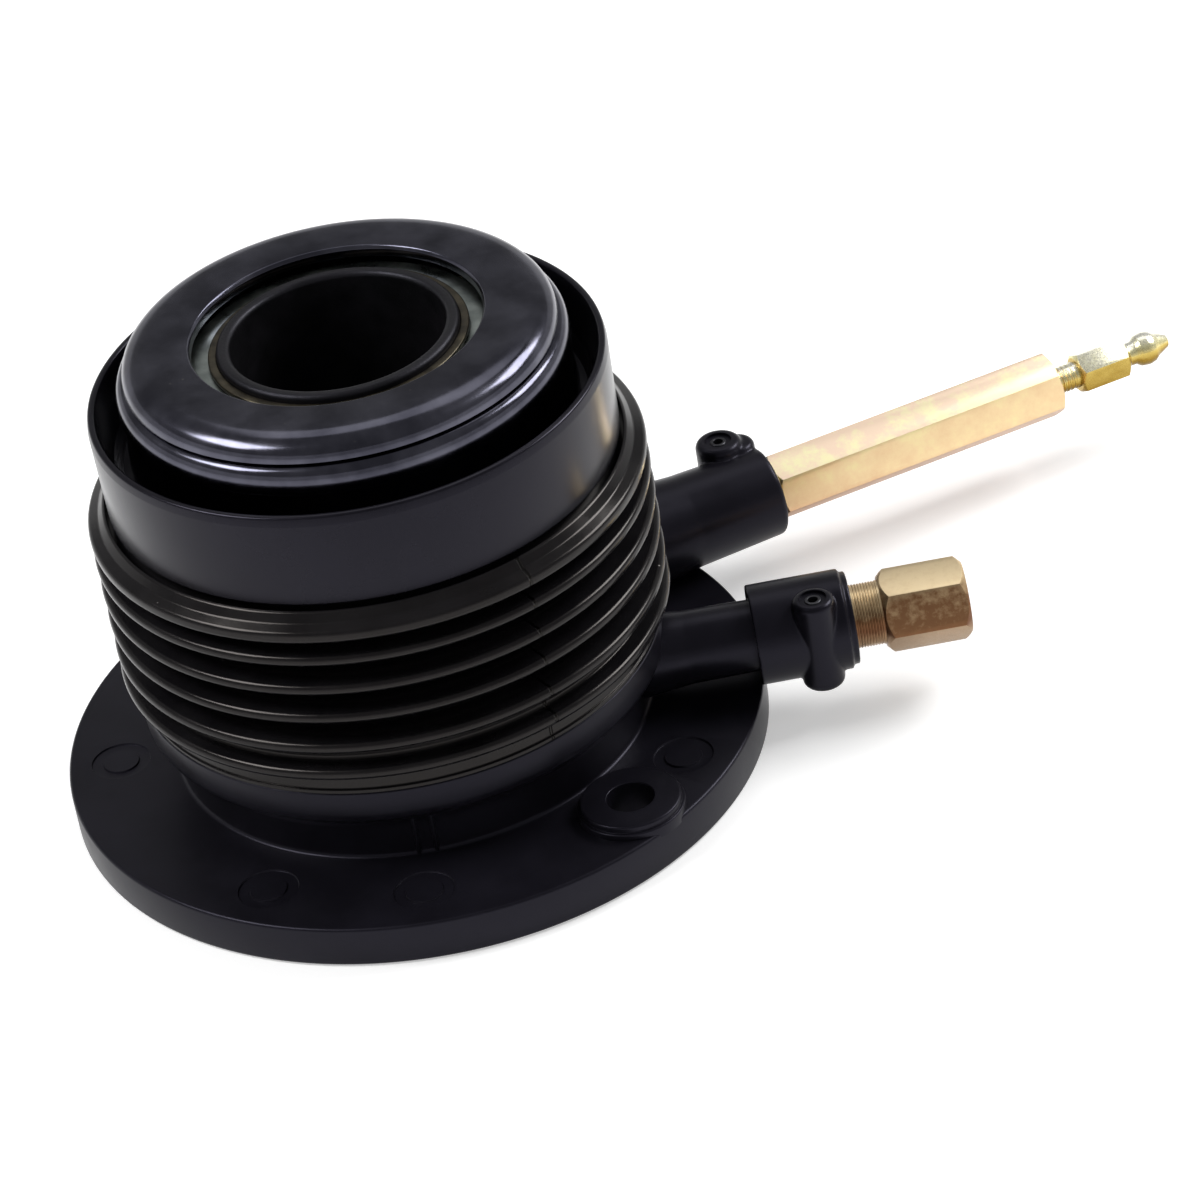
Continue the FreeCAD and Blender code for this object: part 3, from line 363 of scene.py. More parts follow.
# dark finishes: colours of the lighter and darker clouds, their size, gloss and its spread, grain.
# Each grain is finer on the real piece, 0.05 to 0.2 mm, and is drawn coarse enough to show.
looks = {
    # black nylon, injection moulded against an eroded steel mould: satin, faintly violet, soft highlights
    "mouldedBlack": {"dark": "#100f14", "light": "#15141a", "cloudMm": 14.0, "rough": 0.33,
                     "roughSpread": 0.05, "grainMm": 0.35, "grain": 0.08, "metal": 0.0, "shine": 0.2,
                     "tint": "#e6e2ff"},
    # the same nylon from a polished mould: smoother, so the cup shows the pale floor in broad bands
    "carrierBlack": {"dark": "#0f0e12", "light": "#141318", "cloudMm": 10.0, "rough": 0.24,
                     "roughSpread": 0.03, "grainMm": 0.3, "grain": 0.04, "metal": 0.0, "shine": 0.22,
                     "tint": "#e6e2ff"},
    # moulded nitrile rubber, handled and a little dusty: thin bright lines on the folds, a mould seam with
    # painted shade along its notch
    "bellowsRubber": {"dark": "#121113", "light": "#181719", "cloudMm": 9.0, "rough": 0.19,
                      "roughSpread": 0.05, "grainMm": 0.8, "grain": 0.04, "metal": 0.0, "shine": 0.22,
                      "tint": "#fff6f0", "specks": 0.05, "specksMm": 5.0, "seamTurn": -59.0, "seamMm": 0.35},
    # glass-filled nylon tube: dull black with a pebbled lip
    "sleeveBlack": {"dark": "#0a0a0b", "light": "#100f11", "cloudMm": 6.0, "rough": 0.42,
                    "roughSpread": 0.05, "grainMm": 0.6, "grain": 0.35, "metal": 0.0, "shine": 0.25,
                    "tint": "#ecebff"},
    # pressed steel with black oxide, turned and oiled: sharp highlights that spread along the radius
    "blackSteel": {"dark": "#40404a", "light": "#5a5a65", "cloudMm": 9.0, "rough": 0.17,
                   "roughSpread": 0.04, "grainMm": 0.5, "grain": 0.04, "metal": 1.0, "shine": 0.5,
                   "turned": 0.3, "specks": 0.04, "specksMm": 4.0},
    # ground bearing steel: a pale grey-green ring between two black ones
    "groundSteel": {"dark": "#7f8784", "light": "#a6ada9", "cloudMm": 5.0, "rough": 0.3,
                    "roughSpread": 0.06, "grainMm": 0.4, "grain": 0.05, "metal": 1.0, "shine": 0.5},
    # phosphated spring wire with old oil: a thin brown line round the sleeve
    "clipSteel": {"dark": "#3a362e", "light": "#565042", "cloudMm": 3.0, "rough": 0.35,
                  "roughSpread": 0.05, "grainMm": 0.4, "grain": 0.05, "metal": 0.9, "shine": 0.5},
    # oil-blackened spring steel: dark grey pins, coil and washers
    "springSteel": {"dark": "#37373b", "light": "#4a4a4e", "cloudMm": 5.0, "rough": 0.35,
                    "roughSpread": 0.05, "grainMm": 0.4, "grain": 0.05, "metal": 0.9, "shine": 0.5},
    # plain nitrile rubber of the seals: matt black
    "sealRubber": {"dark": "#0c0c0d", "light": "#131314", "cloudMm": 5.0, "rough": 0.5,
                   "roughSpread": 0.04, "grainMm": 0.5, "grain": 0.05, "metal": 0.0, "shine": 0.3},
    # natural nylon of the ball cage: dull cream
    "cageNylon": {"dark": "#b9b199", "light": "#c9c2ab", "cloudMm": 5.0, "rough": 0.45,
                  "roughSpread": 0.04, "grainMm": 0.5, "grain": 0.05, "metal": 0.0, "shine": 0.5},
}

# zinc plating on turned or drawn hexagon steel, its tint set by painted light and shade: from faces that look
# down, at 0, to faces that look up, at 1, mostly lighter upwards.
# The film's grain is some 0.05 mm on the real piece and is drawn coarser to show.
platings = {
    # fresh yellow passivation, with soft rainbow clouds; painted light makes faces that look up pale straw and
    # painted shade makes faces that look down a darker rose
    "yellowZinc": {"paintedLightTints": [(0.0, "#b89070"), (0.42, "#dfb48c"), (0.62, "#ecd0a2"), (0.80, "#f3ecae"),
                             (0.93, "#f6ecc0"), (1.0, "#f3d9c0")],
                   "cloudMm": 5.0, "wobble": 0.16, "grainMm": 0.35, "grain": 0.08, "rough": 0.34,
                   "metal": 0.85},
    # the same film gone brown and mottled by handling, as on the pipe's nut; painted light makes faces that
    # look up pale and painted shade makes the sides dark brown
    "bronzeZinc": {"paintedLightTints": [(0.0, "#8f7450"), (0.30, "#a98a68"), (0.50, "#6f4b33"), (0.68, "#7b583c"),
                             (0.86, "#d8bd92"), (1.0, "#ead4ac")],
                   "cloudMm": 1.4, "wobble": 0.10, "grainMm": 0.25, "grain": 0.16, "rough": 0.34,
                   "metal": 0.9},
    # a thick olive-gold film, glossy on the small screw; a painted highlight turns faces that look up nearly
    # white and painted shade darkens faces that look down
    "goldZinc": {"paintedLightTints": [(0.0, "#5e4c1a"), (0.4, "#94762a"), (0.6, "#cdb462"), (0.8, "#f6efbb"),
                           (1.0, "#fffdf0")],
                 "cloudMm": 2.0, "wobble": 0.08, "grainMm": 0.3, "grain": 0.03, "rough": 0.28,
                 "metal": 0.9},
}

materials = {}
for lookName, look in looks.items():
    materials[lookName] = darkMaterial(lookName, look)
for lookName, look in platings.items():
    materials[lookName] = platedMaterial(lookName, look)
print("stage: materials made")


# gives a piece its finish, its body and the CAD nodes it stands for
def finishPiece(piece, materialName, body, nodes):
    piece.data.materials.clear()
    piece.data.materials.append(materials[materialName])
    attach(piece, body)
    if nodes:
        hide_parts(*nodes)
    return piece


# housing: flange and neck, bolt bosses, ports

# radii and heights from the gearbox face up; the neck is a collar over a narrower waist
housing = {
    "flangeRadius": 62.2, "flangeThick": 7.6, "edge": 0.6,
    "neckRadius": 46.4, "neckTop": 24.2, "waistRadius": 42.2, "waistTop": 15.07, "collarLow": 18.56,
    "seatRadius": 43.5, "seatTop": 31.0, "wellRadius": 41.5, "wellFloor": 20.0,
    "cylinderOuter": 32.5, "cylinderBore": 29.0, "cylinderTop": 48.0, "chamberFloor": 11.0,
    "sleeveHole": 20.95, "footRadius": 23.45, "footDepth": 3.0,
}

# the two bolt bosses, with a low step round each
boltBosses = {
    "circle": 53.1, "turns": (-49.0, 131.0), "hole": 4.15,
    "radius": 8.8, "top": 10.0, "stepRadius": 9.4, "stepTop": 8.8, "sunk": 1.0,
}

# shallow rings that the mould's ejector pins left on the flange
ejectorMarks = {
    "turns": (179.0, -122.6, -92.3, -31.3), "circle": 52.8, "radius": 5.2, "land": 3.3, "deep": 0.3,
}

# two thin ribs at the foot of the neck
neckRibs = {"x": (-2.15, 0.95), "radius": 0.4, "above": 1.0, "sunk": 0.5}


def onCircle(radius, turn):
    return radius * math.cos(math.radians(turn)), radius * math.sin(math.radians(turn))


def makeShell(h, bosses, marks, ribs):
    piece = turnPiece("housingShell", [
        (h["sleeveHole"], h["footDepth"]), (h["footRadius"], h["footDepth"]), (h["footRadius"], 0.0),
        (h["flangeRadius"], 0.0, h["edge"]), (h["flangeRadius"], h["flangeThick"], h["edge"]),
        (h["waistRadius"], h["flangeThick"], 0.8), (h["waistRadius"], h["waistTop"], 2.5),
        (h["neckRadius"], h["collarLow"], 2.5), (h["neckRadius"], h["neckTop"], 0.3),
        (h["seatRadius"], h["neckTop"]), (h["seatRadius"], h["seatTop"], 0.4),
        (h["wellRadius"], h["seatTop"], 0.4), (h["wellRadius"], h["wellFloor"]),
        (h["cylinderOuter"], h["wellFloor"]), (h["cylinderOuter"], h["cylinderTop"], 0.5),
        (h["cylinderBore"], h["cylinderTop"], 1.0), (h["cylinderBore"], h["chamberFloor"]),
        (h["sleeveHole"], h["chamberFloor"]),
    ], 256)
    top = h["flangeThick"]
    for turn in marks["turns"]:
        cutter = turnPiece("markCutter", [
            (marks["land"], top - marks["deep"]), (marks["radius"], top - marks["deep"], 0.1),
            (marks["radius"] + 0.25, top + 0.3), (marks["land"] - 0.25, top + 0.3),
        ], 48)
        place(cutter, (*onCircle(marks["circle"], turn), 0))
        combine(piece, cutter, "DIFFERENCE")
    for turn in bosses["turns"]:
        cutter = pillar("boltCutter", *onCircle(bosses["circle"], turn), -1.0, top + 4.0, bosses["hole"], 0.0)
        combine(piece, cutter, "DIFFERENCE")
    ribPieces = []
    for x in ribs["x"]:
        ribPieces.append(pillar("neckRib", x, -h["waistRadius"], top - ribs["sunk"],
                                h["waistTop"] + ribs["above"], ribs["radius"], 0.2))
    joinPieces(piece, ribPieces)
    return smooth(piece, 30.0)


def makeBoltBoss(bosses, top, number, turn):
    piece = turnPiece("boltBoss%d" % number, [
        (bosses["hole"], top - bosses["sunk"]), (bosses["stepRadius"], top - bosses["sunk"]),
        (bosses["stepRadius"], bosses["stepTop"], 0.4), (bosses["radius"], bosses["stepTop"], 0.1),
        (bosses["radius"], bosses["top"], 0.4), (bosses["hole"], bosses["top"], 0.2),
    ], 96)
    place(piece, (*onCircle(bosses["circle"], turn), 0))
    return smooth(piece)


# sockets on the ports' lines, from their roots in the neck outwards, and their upright pin bosses
bleedPort = {
    "socket": [(40.0, 10.4), (48.0, 9.8, 4.0), (61.0, 8.7, 6.0), (78.0, 8.3, 0.8)],
    "bore": 5.75, "boreEnd": 62.0,
    "boss": {"low": 8.0, "high": 26.3, "radius": 4.3, "edge": 1.3},
    "lug": {"along": 3.0, "aside": -0.8, "low": 10.0, "high": 25.2, "radius": 3.4, "edge": 1.2},
    "pinRim": {"low": 25.8, "high": 27.0, "radius": 2.45},
    "voxel": 0.28, "softening": 5,
}

linePort = {
    "socket": [(40.0, 7.6), (49.0, 6.5, 3.0), (61.0, 6.35), (61.5, 6.35), (60.8, 8.88, 0.25),
               (77.3, 8.88, 0.3), (77.3, 8.2, 0.1), (78.5, 8.2, 0.3)],
    "bore": 5.75, "boreEnd": 62.0,
    "boss": {"low": 7.6, "high": 25.4, "radius": 3.75, "edge": 1.2},
    "pinRim": {"low": 24.9, "high": 26.2, "radius": 2.45},
    "voxel": 0.22, "softening": 3,
}


# turns corners written as (along, radius, rounding) into a section's (radius, along, rounding)
def alongPath(corners):
    return [(radius, along, *edge) for along, radius, *edge in corners]


def makePort(name, line, look, side, steps):
    socket = alongPath(look["socket"])
    root, mouth = socket[0][1], socket[-1][1]
    tube = turnPiece(name, [(onAxis, root)] + socket + [
        (look["bore"], mouth, 0.4), (look["bore"], look["boreEnd"]), (onAxis, look["boreEnd"]),
    ], steps)
    placeInPort(tube, line)
    x, y = portPoint(line, ports["pinAlong"], side * ports["pinAside"])
    boss, rim = look["boss"], look["pinRim"]
    added = [pillar(name + "Boss", x, y, boss["low"], boss["high"], boss["radius"], boss["edge"], 1.5)]
    rimCutter = pillar(name + "Rim", x, y, rim["low"], rim["high"], rim["radius"], 0.0)
    if "lug" in look:
        lug = look["lug"]
        x, y = portPoint(line, ports["pinAlong"] + lug["along"], side * ports["pinAside"] + lug["aside"])
        added.append(pillar(name + "Lug", x, y, lug["low"], lug["high"], lug["radius"], lug["edge"]))
    joinPieces(tube, added)
    melt(tube, look["voxel"], look["softening"])
    combine(tube, rimCutter, "DIFFERENCE")
    return smooth(tube, 40.0)


finishPiece(makeShell(housing, boltBosses, ejectorMarks, neckRibs), "mouldedBlack", "body", ["housing"])
for bossNumber, bossTurn in enumerate(boltBosses["turns"], start=1):
    finishPiece(makeBoltBoss(boltBosses, housing["flangeThick"], bossNumber, bossTurn), "mouldedBlack",
                "body", [])
finishPiece(makePort("bleedPort", ports["bleed"], bleedPort, 1, 96), "mouldedBlack", "body", [])
finishPiece(makePort("linePort", ports["line"], linePort, -1, 128), "mouldedBlack", "body", [])
print("stage: housing made")


# roll pins that hold the two fittings
rollPin = {"length": 15.3, "outer": 1.5, "inner": 0.9, "sunk": 0.3}


def makeRollPin(name, line, aside, bossTop):
    top = bossTop - rollPin["sunk"]
    low = top - rollPin["length"]
    piece = turnPiece(name, [
        (rollPin["inner"], low, 0.1), (rollPin["outer"], low, 0.2),
        (rollPin["outer"], top, 0.25), (rollPin["inner"], top, 0.1),
    ], 48)
    place(piece, (*portPoint(line, ports["pinAlong"], aside), 0))
    return smooth(piece)


finishPiece(makeRollPin("linePin", ports["line"], -ports["pinAside"], linePort["boss"]["high"]),
            "springSteel", "body", ["line_adaptor_pin"])
finishPiece(makeRollPin("bleedPin", ports["bleed"], ports["pinAside"], bleedPort["boss"]["high"]),
            "springSteel", "body", ["bleed_extension_pin"])


# guide sleeve and its clip
sleeve = {"bore": 18.5, "outer": 20.9, "top": 87.4, "lip": 1.0, "foot": 23.4, "footThick": 3.0}
clip = {"inner": 20.92, "outer": 22.4, "low": 85.05, "high": 86.05,
        "gap": {"at": 21.6, "low": 84.0, "high": 87.0, "radius": 2.0}}


def makeSleeve(s):
    piece = turnPiece("guideSleeve", [
        (s["bore"], 0.0), (s["foot"], 0.0), (s["foot"], s["footThick"]), (s["outer"], s["footThick"], 0.2),
        (s["outer"], s["top"], s["lip"]), (s["bore"], s["top"], s["lip"]),
    ], 192)
    return smooth(piece)


def makeClip(c):
    piece = turnPiece("retainingRing", [
        (c["inner"], c["low"], 0.2), (c["outer"], c["low"], 0.3),
        (c["outer"], c["high"], 0.3), (c["inner"], c["high"], 0.2),
    ], 160)
    gap = c["gap"]
    cutter = pillar("clipGap", 0.0, gap["at"], gap["low"], gap["high"], gap["radius"], 0.0)
    combine(piece, cutter, "DIFFERENCE")
    return smooth(piece)


finishPiece(makeSleeve(sleeve), "sleeveBlack", "body", ["guide_sleeve"])
finishPiece(makeClip(clip), "clipSteel", "body", ["retaining_ring"])


# bellows, a thin rubber wall folded six times between the collar and the carrier
bellows = {
    "ridge": 48.6, "root": 42.4, "lastRoot": 45.4, "wall": 1.0, "lip": 0.95, "rootHeight": 1.35,
    "ridges": (57.5, 52.9, 47.0, 41.2, 35.0, 29.5),
    "neck": 43.0, "neckInner": 40.7, "top": 66.0,
    # groove round the neck, where the carrier's skirt hangs
    "skirt": 61.2, "groove": 59.2, "grooveRadius": 44.95,
    "cuff": 45.9, "cuffLip": 46.3, "cuffBore": 43.5, "foot": 24.2,
}


def makeBellows(b):
    ridge, root, lip, levels = b["ridge"], b["root"], b["lip"], b["ridges"]
    outside = [
        (b["neck"], b["top"]), (b["neck"], b["groove"]), (b["grooveRadius"], b["groove"]),
        (45.0, b["skirt"], 0.2), (45.6, 60.9, 0.6), (46.6, 59.5, 0.8),
        (ridge, levels[0] + lip + 0.2, 1.0), (ridge, levels[0] - lip, lip),
    ]
    for upper, lower in zip(levels, levels[1:]):
        inner = b["lastRoot"] if lower == levels[-1] else root
        outside += [
            (inner, upper - b["rootHeight"], 0.9), (inner, lower + b["rootHeight"], 0.9),
            (ridge, lower + lip, lip), (ridge, lower - lip, lip),
        ]
    outside += [
        (b["cuff"], levels[-1] - b["rootHeight"], 0.5), (b["cuff"], b["foot"] + 0.9, 0.3),
        (b["cuffLip"], b["foot"] + 0.7, 0.2), (b["cuffLip"], b["foot"], 0.1),
    ]
    hollow, back, backHeight = ridge - b["wall"] * 2.4, root - b["wall"], b["rootHeight"] + 0.6
    inside = [(b["cuffBore"], b["foot"]), (b["cuffBore"], 31.2), (44.2, 31.6), (44.2, 33.4)]
    for upper, lower in reversed(list(zip(levels[:-1], levels[1:-1]))):
        inside += [(hollow, lower, 0.3), (back, lower + backHeight, 0.3), (back, upper - backHeight, 0.3)]
    inside += [
        (hollow, levels[0], 0.3), (44.8, 57.9), (42.0, 58.0), (b["neckInner"], 59.0),
        (b["neckInner"], b["top"]),
    ]
    return smooth(turnPiece("dustBellows", outside + inside, 224), 60.0)


# gives a piece its own copy of its mesh
def shorten(piece):
    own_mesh(piece)


shorten(finishPiece(makeBellows(bellows), "bellowsRubber", "body", ["dust_bellows"]))
print("stage: bellows made")


# preload spring, drawn again as a coil of wire
spring = {"mean": 37.0, "wire": 1.5, "low": 21.0, "high": 66.0, "openTurns": 4, "closedRise": 3.06,
          "perTurn": 32, "crowding": 0.25}


# heights of the wire's centre: a closed turn, open turns that crowd at their ends, a closed turn
def coilHeights(s):
    low, high = s["low"] + s["wire"], s["high"] - s["wire"]
    heights = [low + s["closedRise"] * i / s["perTurn"] for i in range(s["perTurn"])]
    lowOpen, highOpen = low + s["closedRise"], high - s["closedRise"]
    openSteps = s["openTurns"] * s["perTurn"]
    for i in range(openSteps):
        share = i / openSteps
        eased = share - math.sin(2 * math.pi * share) / (2 * math.pi) * s["crowding"]
        heights.append(lowOpen + (highOpen - lowOpen) * eased)
    heights += [highOpen + s["closedRise"] * i / s["perTurn"] for i in range(s["perTurn"] + 1)]
    return heights


def makeSpring(s):
    heights = coilHeights(s)
    deselectAll()
    bpy.ops.curve.primitive_nurbs_path_add()
    piece = bpy.context.object
    piece.name = "preloadSpring"
    curve = piece.data
    curve.name = "preloadSpring"
    curve.splines.clear()
    line = curve.splines.new("POLY")
    line.points.add(len(heights) - 1)
    for i, height in enumerate(heights):
        turn = 2 * math.pi * i / s["perTurn"]
        line.points[i].co = (s["mean"] * mm * math.cos(turn), s["mean"] * mm * math.sin(turn), height * mm, 1.0)
    curve.dimensions = "3D"
    curve.bevel_depth = s["wire"] * mm
    curve.bevel_resolution = 4
    curve.use_fill_caps = True
    pick(piece)
    bpy.ops.object.convert(target="MESH")
    bpy.ops.object.mode_set(mode="EDIT")
    bpy.ops.mesh.select_all(action="SELECT")
    bpy.ops.mesh.remove_doubles(threshold=0.000002)
    bpy.ops.mesh.normals_make_consistent(inside=False)
    bpy.ops.object.mode_set(mode="OBJECT")
    return smooth(piece, 50.0)


shorten(finishPiece(makeSpring(spring), "springSteel", "body", ["preload_spring"]))
print("stage: spring made")


# bearing carrier: a web with a rib for the spring, a skirt over the bellows and a thin rim
carrier = {
    "bore": 21.3, "webLow": 66.0, "webTop": 68.2, "ribInner": 33.25, "ribOuter": 35.1, "ribLow": 64.4,
    "skirtInner": 43.3, "skirtOuter": 44.5, "skirtLow": 61.7,
    "rim": [(44.8, 77.4, 0.35), (44.5, 79.0, 0.5), (43.3, 79.2, 0.6)],
    "slope": [(41.8, 69.7, 1.0), (40.3, 68.2)],
}


def makeCarrier(c):
    piece = turnPiece("bearingCarrier", [
        (c["bore"], c["webLow"]), (c["ribInner"], c["webLow"]), (c["ribInner"], c["ribLow"]),
        (c["ribOuter"], c["ribLow"]), (c["ribOuter"], c["webLow"]), (c["skirtInner"], c["webLow"]),
        (c["skirtInner"], c["skirtLow"], 0.2), (c["skirtOuter"], c["skirtLow"], 0.35),
    ] + c["rim"] + c["slope"] + [(c["bore"], c["webTop"])], 224)
    return smooth(piece)


finishPiece(makeCarrier(carrier), "carrierBlack", "slider", ["bearing_carrier"])


# turning ring: a pressed cap whose outside falls in two rolls, each from its inner top to its foot;
# a full number above 2 makes the rolls squarer
outerRing = {
    "mouth": 35.8, "low": 70.0, "skirt": 39.0, "waist": 38.5, "waistFoot": 76.0, "waistTop": 79.6,
    "lowerRoll": {"inner": (36.9, 84.45), "outer": (39.0, 81.3)}, "groove": (36.6, 84.5),
    "upperRoll": {"inner": (32.0, 88.6), "outer": (37.35, 84.9)}, "full": 2.25, "steps": 12,
    "hole": 25.1, "face": 88.6, "under": 86.6, "inside": 33.0, "race": 80.9,
}


def rollPath(roll, full, steps):
    path = []
    for i in range(steps, -1, -1):
        turn = math.pi / 2 * i / steps
        out, up = math.sin(turn) ** (2 / full), max(math.cos(turn), 0.0) ** (2 / full)
        path.append((roll["inner"][0] + (roll["outer"][0] - roll["inner"][0]) * out,
                     roll["outer"][1] + (roll["inner"][1] - roll["outer"][1]) * up))
    return path


def makeOuterRing(r):
    lowerRoll = rollPath(r["lowerRoll"], r["full"], r["steps"])[:-2]
    upperRoll = rollPath(r["upperRoll"], r["full"], r["steps"])
    piece = turnPiece("bearingOuterRing", [
        (r["mouth"], r["low"], 0.2), (r["skirt"], r["low"], 0.4), (r["waist"], r["waistFoot"], 1.0),
        (r["waist"], r["waistTop"], 0.6), (r["skirt"], r["waistTop"] + 0.4, 0.3),
    ] + lowerRoll + [r["groove"]] + upperRoll + [
        (r["hole"] + 0.4, r["face"], 0.35), (r["hole"], r["face"] - 0.6, 0.2), (r["hole"], r["under"]),
        (r["inside"] - 1.5, r["under"]), (r["inside"], r["under"] - 2.0), (r["inside"], r["race"]),
        (r["mouth"] - 0.3, r["waistFoot"] + 1.0, 1.5), (r["mouth"], r["waistFoot"]),
    ], 256)
    return smooth(piece, 40.0)


# still ring, with a shoulder under the balls
innerRing = {"bore": 21.6, "low": 69.4, "top": 85.0, "shoulder": 29.5, "shoulderTop": 73.1,
             "race": (27.1, 77.0, 1.5), "land": 26.3, "landLow": 80.0}


def makeInnerRing(r):
    piece = turnPiece("bearingInnerRing", [
        (r["bore"] + 0.5, r["low"]), (r["shoulder"], r["low"], 0.4), (r["shoulder"], r["shoulderTop"]),
        r["race"], (r["land"], r["landLow"]), (r["land"], r["top"], 0.5), (r["bore"], r["top"], 0.5),
        (r["bore"], r["low"] + 0.5),
    ], 192)
    return smooth(piece)


finishPiece(makeOuterRing(outerRing), "blackSteel", "turning_ring", ["bearing_outer_ring"])
finishPiece(makeInnerRing(innerRing), "groundSteel", "slider", ["bearing_inner_ring"])
print("stage: bearing made")


# fittings: lengths are along their port's line, from the sleeve's axis
spigot = {"bore": 1.5, "radius": 5.65, "start": 62.5, "groove": 4.25, "grooveStart": 70.1, "grooveEnd": 73.5}

lineAdaptor = {
    "flats": 13.0, "start": 83.7, "end": 98.85, "bite": 1.7, "roll": -112.5, "break": 0.18,
    "hole": [(86.0, onAxis), (88.0, 4.6), (98.0, 4.6), (98.9, 5.4), (100.0, 5.4)],
    "rings": 9, "ringStart": 78.9, "ringStep": 0.5, "ringBottom": 5.52, "neckEnd": 84.2,
}

bleedExtension = {
    "flats": 11.0, "start": 78.3, "end": 136.5, "bite": 1.0, "roll": -101.7, "break": 0.18,
    "hole": [(120.0, onAxis), (120.0, 3.05), (135.9, 3.05), (136.6, 3.6), (138.0, 3.6)],
    "spigotEnd": 77.8, "neckRadius": 5.0, "neckEnd": 79.0,
}

bleedScrew = {
    "flats": 7.0, "start": 141.5, "end": 151.5, "bite": 0.9, "roll": -147.0, "break": 0.12,
    "tip": [(118.5, onAxis), (118.5, 1.0), (120.5, 3.0), (133.0, 3.0), (133.5, 2.5)],
    "rings": 7, "ringStart": 134.6, "ringStep": 0.9, "thread": 2.5, "ringBottom": 2.35,
    "nipple": [(141.6, 2.5), (151.0, 2.5), (151.6, 2.7, 0.2), (152.2, 2.2, 0.3), (153.6, 2.2, 0.5),
               (154.6, 2.9, 0.8), (156.1, 3.15, 1.6), (157.3, 2.9, 1.0), (158.3, 2.2, 0.6),
               (160.6, 1.2, 0.3), (160.6, 0.9, 0.1), (125.0, 0.9), (125.0, onAxis)],
}


# shallow grooves that stand for a thread, drawn as rings
def threadRings(look, radius, width, floorStart, floorEnd):
    path = []
    for ringNumber in range(look["rings"]):
        along = look["ringStart"] + ringNumber * look["ringStep"]
        path += [(radius, along), (look["ringBottom"], along + floorStart),
                 (look["ringBottom"], along + floorEnd), (radius, along + width)]
    return path


def breakEdges(piece, width):
    addModifier(piece, "BEVEL", width=width * mm, segments=2, limit_method="ANGLE",
                angle_limit=math.radians(25.0))
    return smooth(piece, 25.0)


def makeHexagon(name, look):
    piece = hexPiece(name, look["flats"], look["start"], look["end"], look["bite"])
    if "hole" in look:
        hole = turnPiece(name + "Hole", alongPath(look["hole"]) + [(onAxis, look["hole"][-1][0])], 64)
        combine(piece, hole, "DIFFERENCE")
    return breakEdges(piece, look["break"])


def spigotPath(s):
    return [(s["bore"], s["start"]), (s["radius"], s["start"], 0.3), (s["radius"], s["grooveStart"]),
            (s["groove"], s["grooveStart"]), (s["groove"], s["grooveEnd"]), (s["radius"], s["grooveEnd"])]


def makeLineNeck(look):
    rings = threadRings(look, spigot["radius"], 0.42, 0.12, 0.3)
    return smooth(turnPiece("lineNeck", spigotPath(spigot) + rings + [
        (spigot["radius"], look["neckEnd"]), (spigot["bore"], look["neckEnd"]),
    ], 96))


def makeBleedNeck(look):
    return smooth(turnPiece("bleedNeck", spigotPath(spigot) + [
        (spigot["radius"], look["spigotEnd"]), (look["neckRadius"], look["spigotEnd"] + 0.4, 0.2),
        (look["neckRadius"], look["neckEnd"]), (spigot["bore"], look["neckEnd"]),
    ], 96))


def makeNipple(look):
    rings = threadRings(look, look["thread"], 0.7, 0.2, 0.5)
    return smooth(turnPiece("bleedNipple", alongPath(look["tip"]) + rings + alongPath(look["nipple"]), 96))


# a fitting's hexagon stands for its node, and its round stem goes with it
def finishFitting(hexagon, stem, line, roll, materialName, body, node):
    finishPiece(placeInPort(hexagon, line, roll), materialName, body, [node])
    finishPiece(placeInPort(stem, line), materialName, body, [])


finishFitting(makeHexagon("lineAdaptor", lineAdaptor), makeLineNeck(lineAdaptor), ports["line"],
              lineAdaptor["roll"], "bronzeZinc", "line_fitting", "line_adaptor")
finishFitting(makeHexagon("bleedExtension", bleedExtension), makeBleedNeck(bleedExtension), ports["bleed"],
              bleedExtension["roll"], "yellowZinc", "bleed_fitting", "bleed_extension")
finishFitting(makeHexagon("bleedScrew", bleedScrew), makeNipple(bleedScrew), ports["bleed"],
              bleedScrew["roll"], "goldZinc", "nipple", "bleed_screw")
print("stage: fittings made")


# CAD pieces inside the part keep their shape and only get a finish
insides = {
    "spring_seat": "springSteel", "piston": "mouldedBlack",
    "piston_seal": "sealRubber", "sleeve_oring": "sealRubber", "preload_washer": "springSteel",
    "bearing_shield": "sealRubber", "bearing_balls": "groundSteel", "bearing_cage": "cageNylon",
    "line_adaptor_oring": "sealRubber", "bleed_extension_oring": "sealRubber",
}
for nodeName, materialName in insides.items():
    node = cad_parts[nodeName]
    node.data.materials.clear()
    node.data.materials.append(materials[materialName])
print("stage: inner pieces finished")


# floor, lamps, world, camera

# metres, and strengths where 1 is white
stage = {"size": 6.0, "wall": 0.9, "paint": "#f0f0f0", "glow": 0.42, "sky": 0.28}


# white paint with a glow that camera, glossy and transmission rays see, and that lights nothing else
def makePaint():
    material, tree = newMaterial("whitePaint")
    paths = addNode(tree, "ShaderNodeLightPath")
    seen = addNode(tree, "ShaderNodeMath", operation="MAXIMUM",
                   links={0: paths.outputs["Is Camera Ray"], 1: paths.outputs["Is Glossy Ray"]})
    seen = addNode(tree, "ShaderNodeMath", operation="MAXIMUM",
                   links={0: seen.outputs[0], 1: paths.outputs["Is Transmission Ray"]})
    paint = addNode(tree, "ShaderNodeBsdfDiffuse", {"Color": srgb(stage["paint"])})
    glow = addNode(tree, "ShaderNodeEmission", {"Color": (1, 1, 1, 1)},
                   {"Strength": stretch(tree, seen.outputs[0], 0.0, 1.0, 0.0, stage["glow"])})
    both = addNode(tree, "ShaderNodeAddShader", links={0: paint.outputs["BSDF"], 1: glow.outputs["Emission"]})
    addNode(tree, "ShaderNodeOutputMaterial", links={"Surface": both.outputs["Shader"]})
    return material


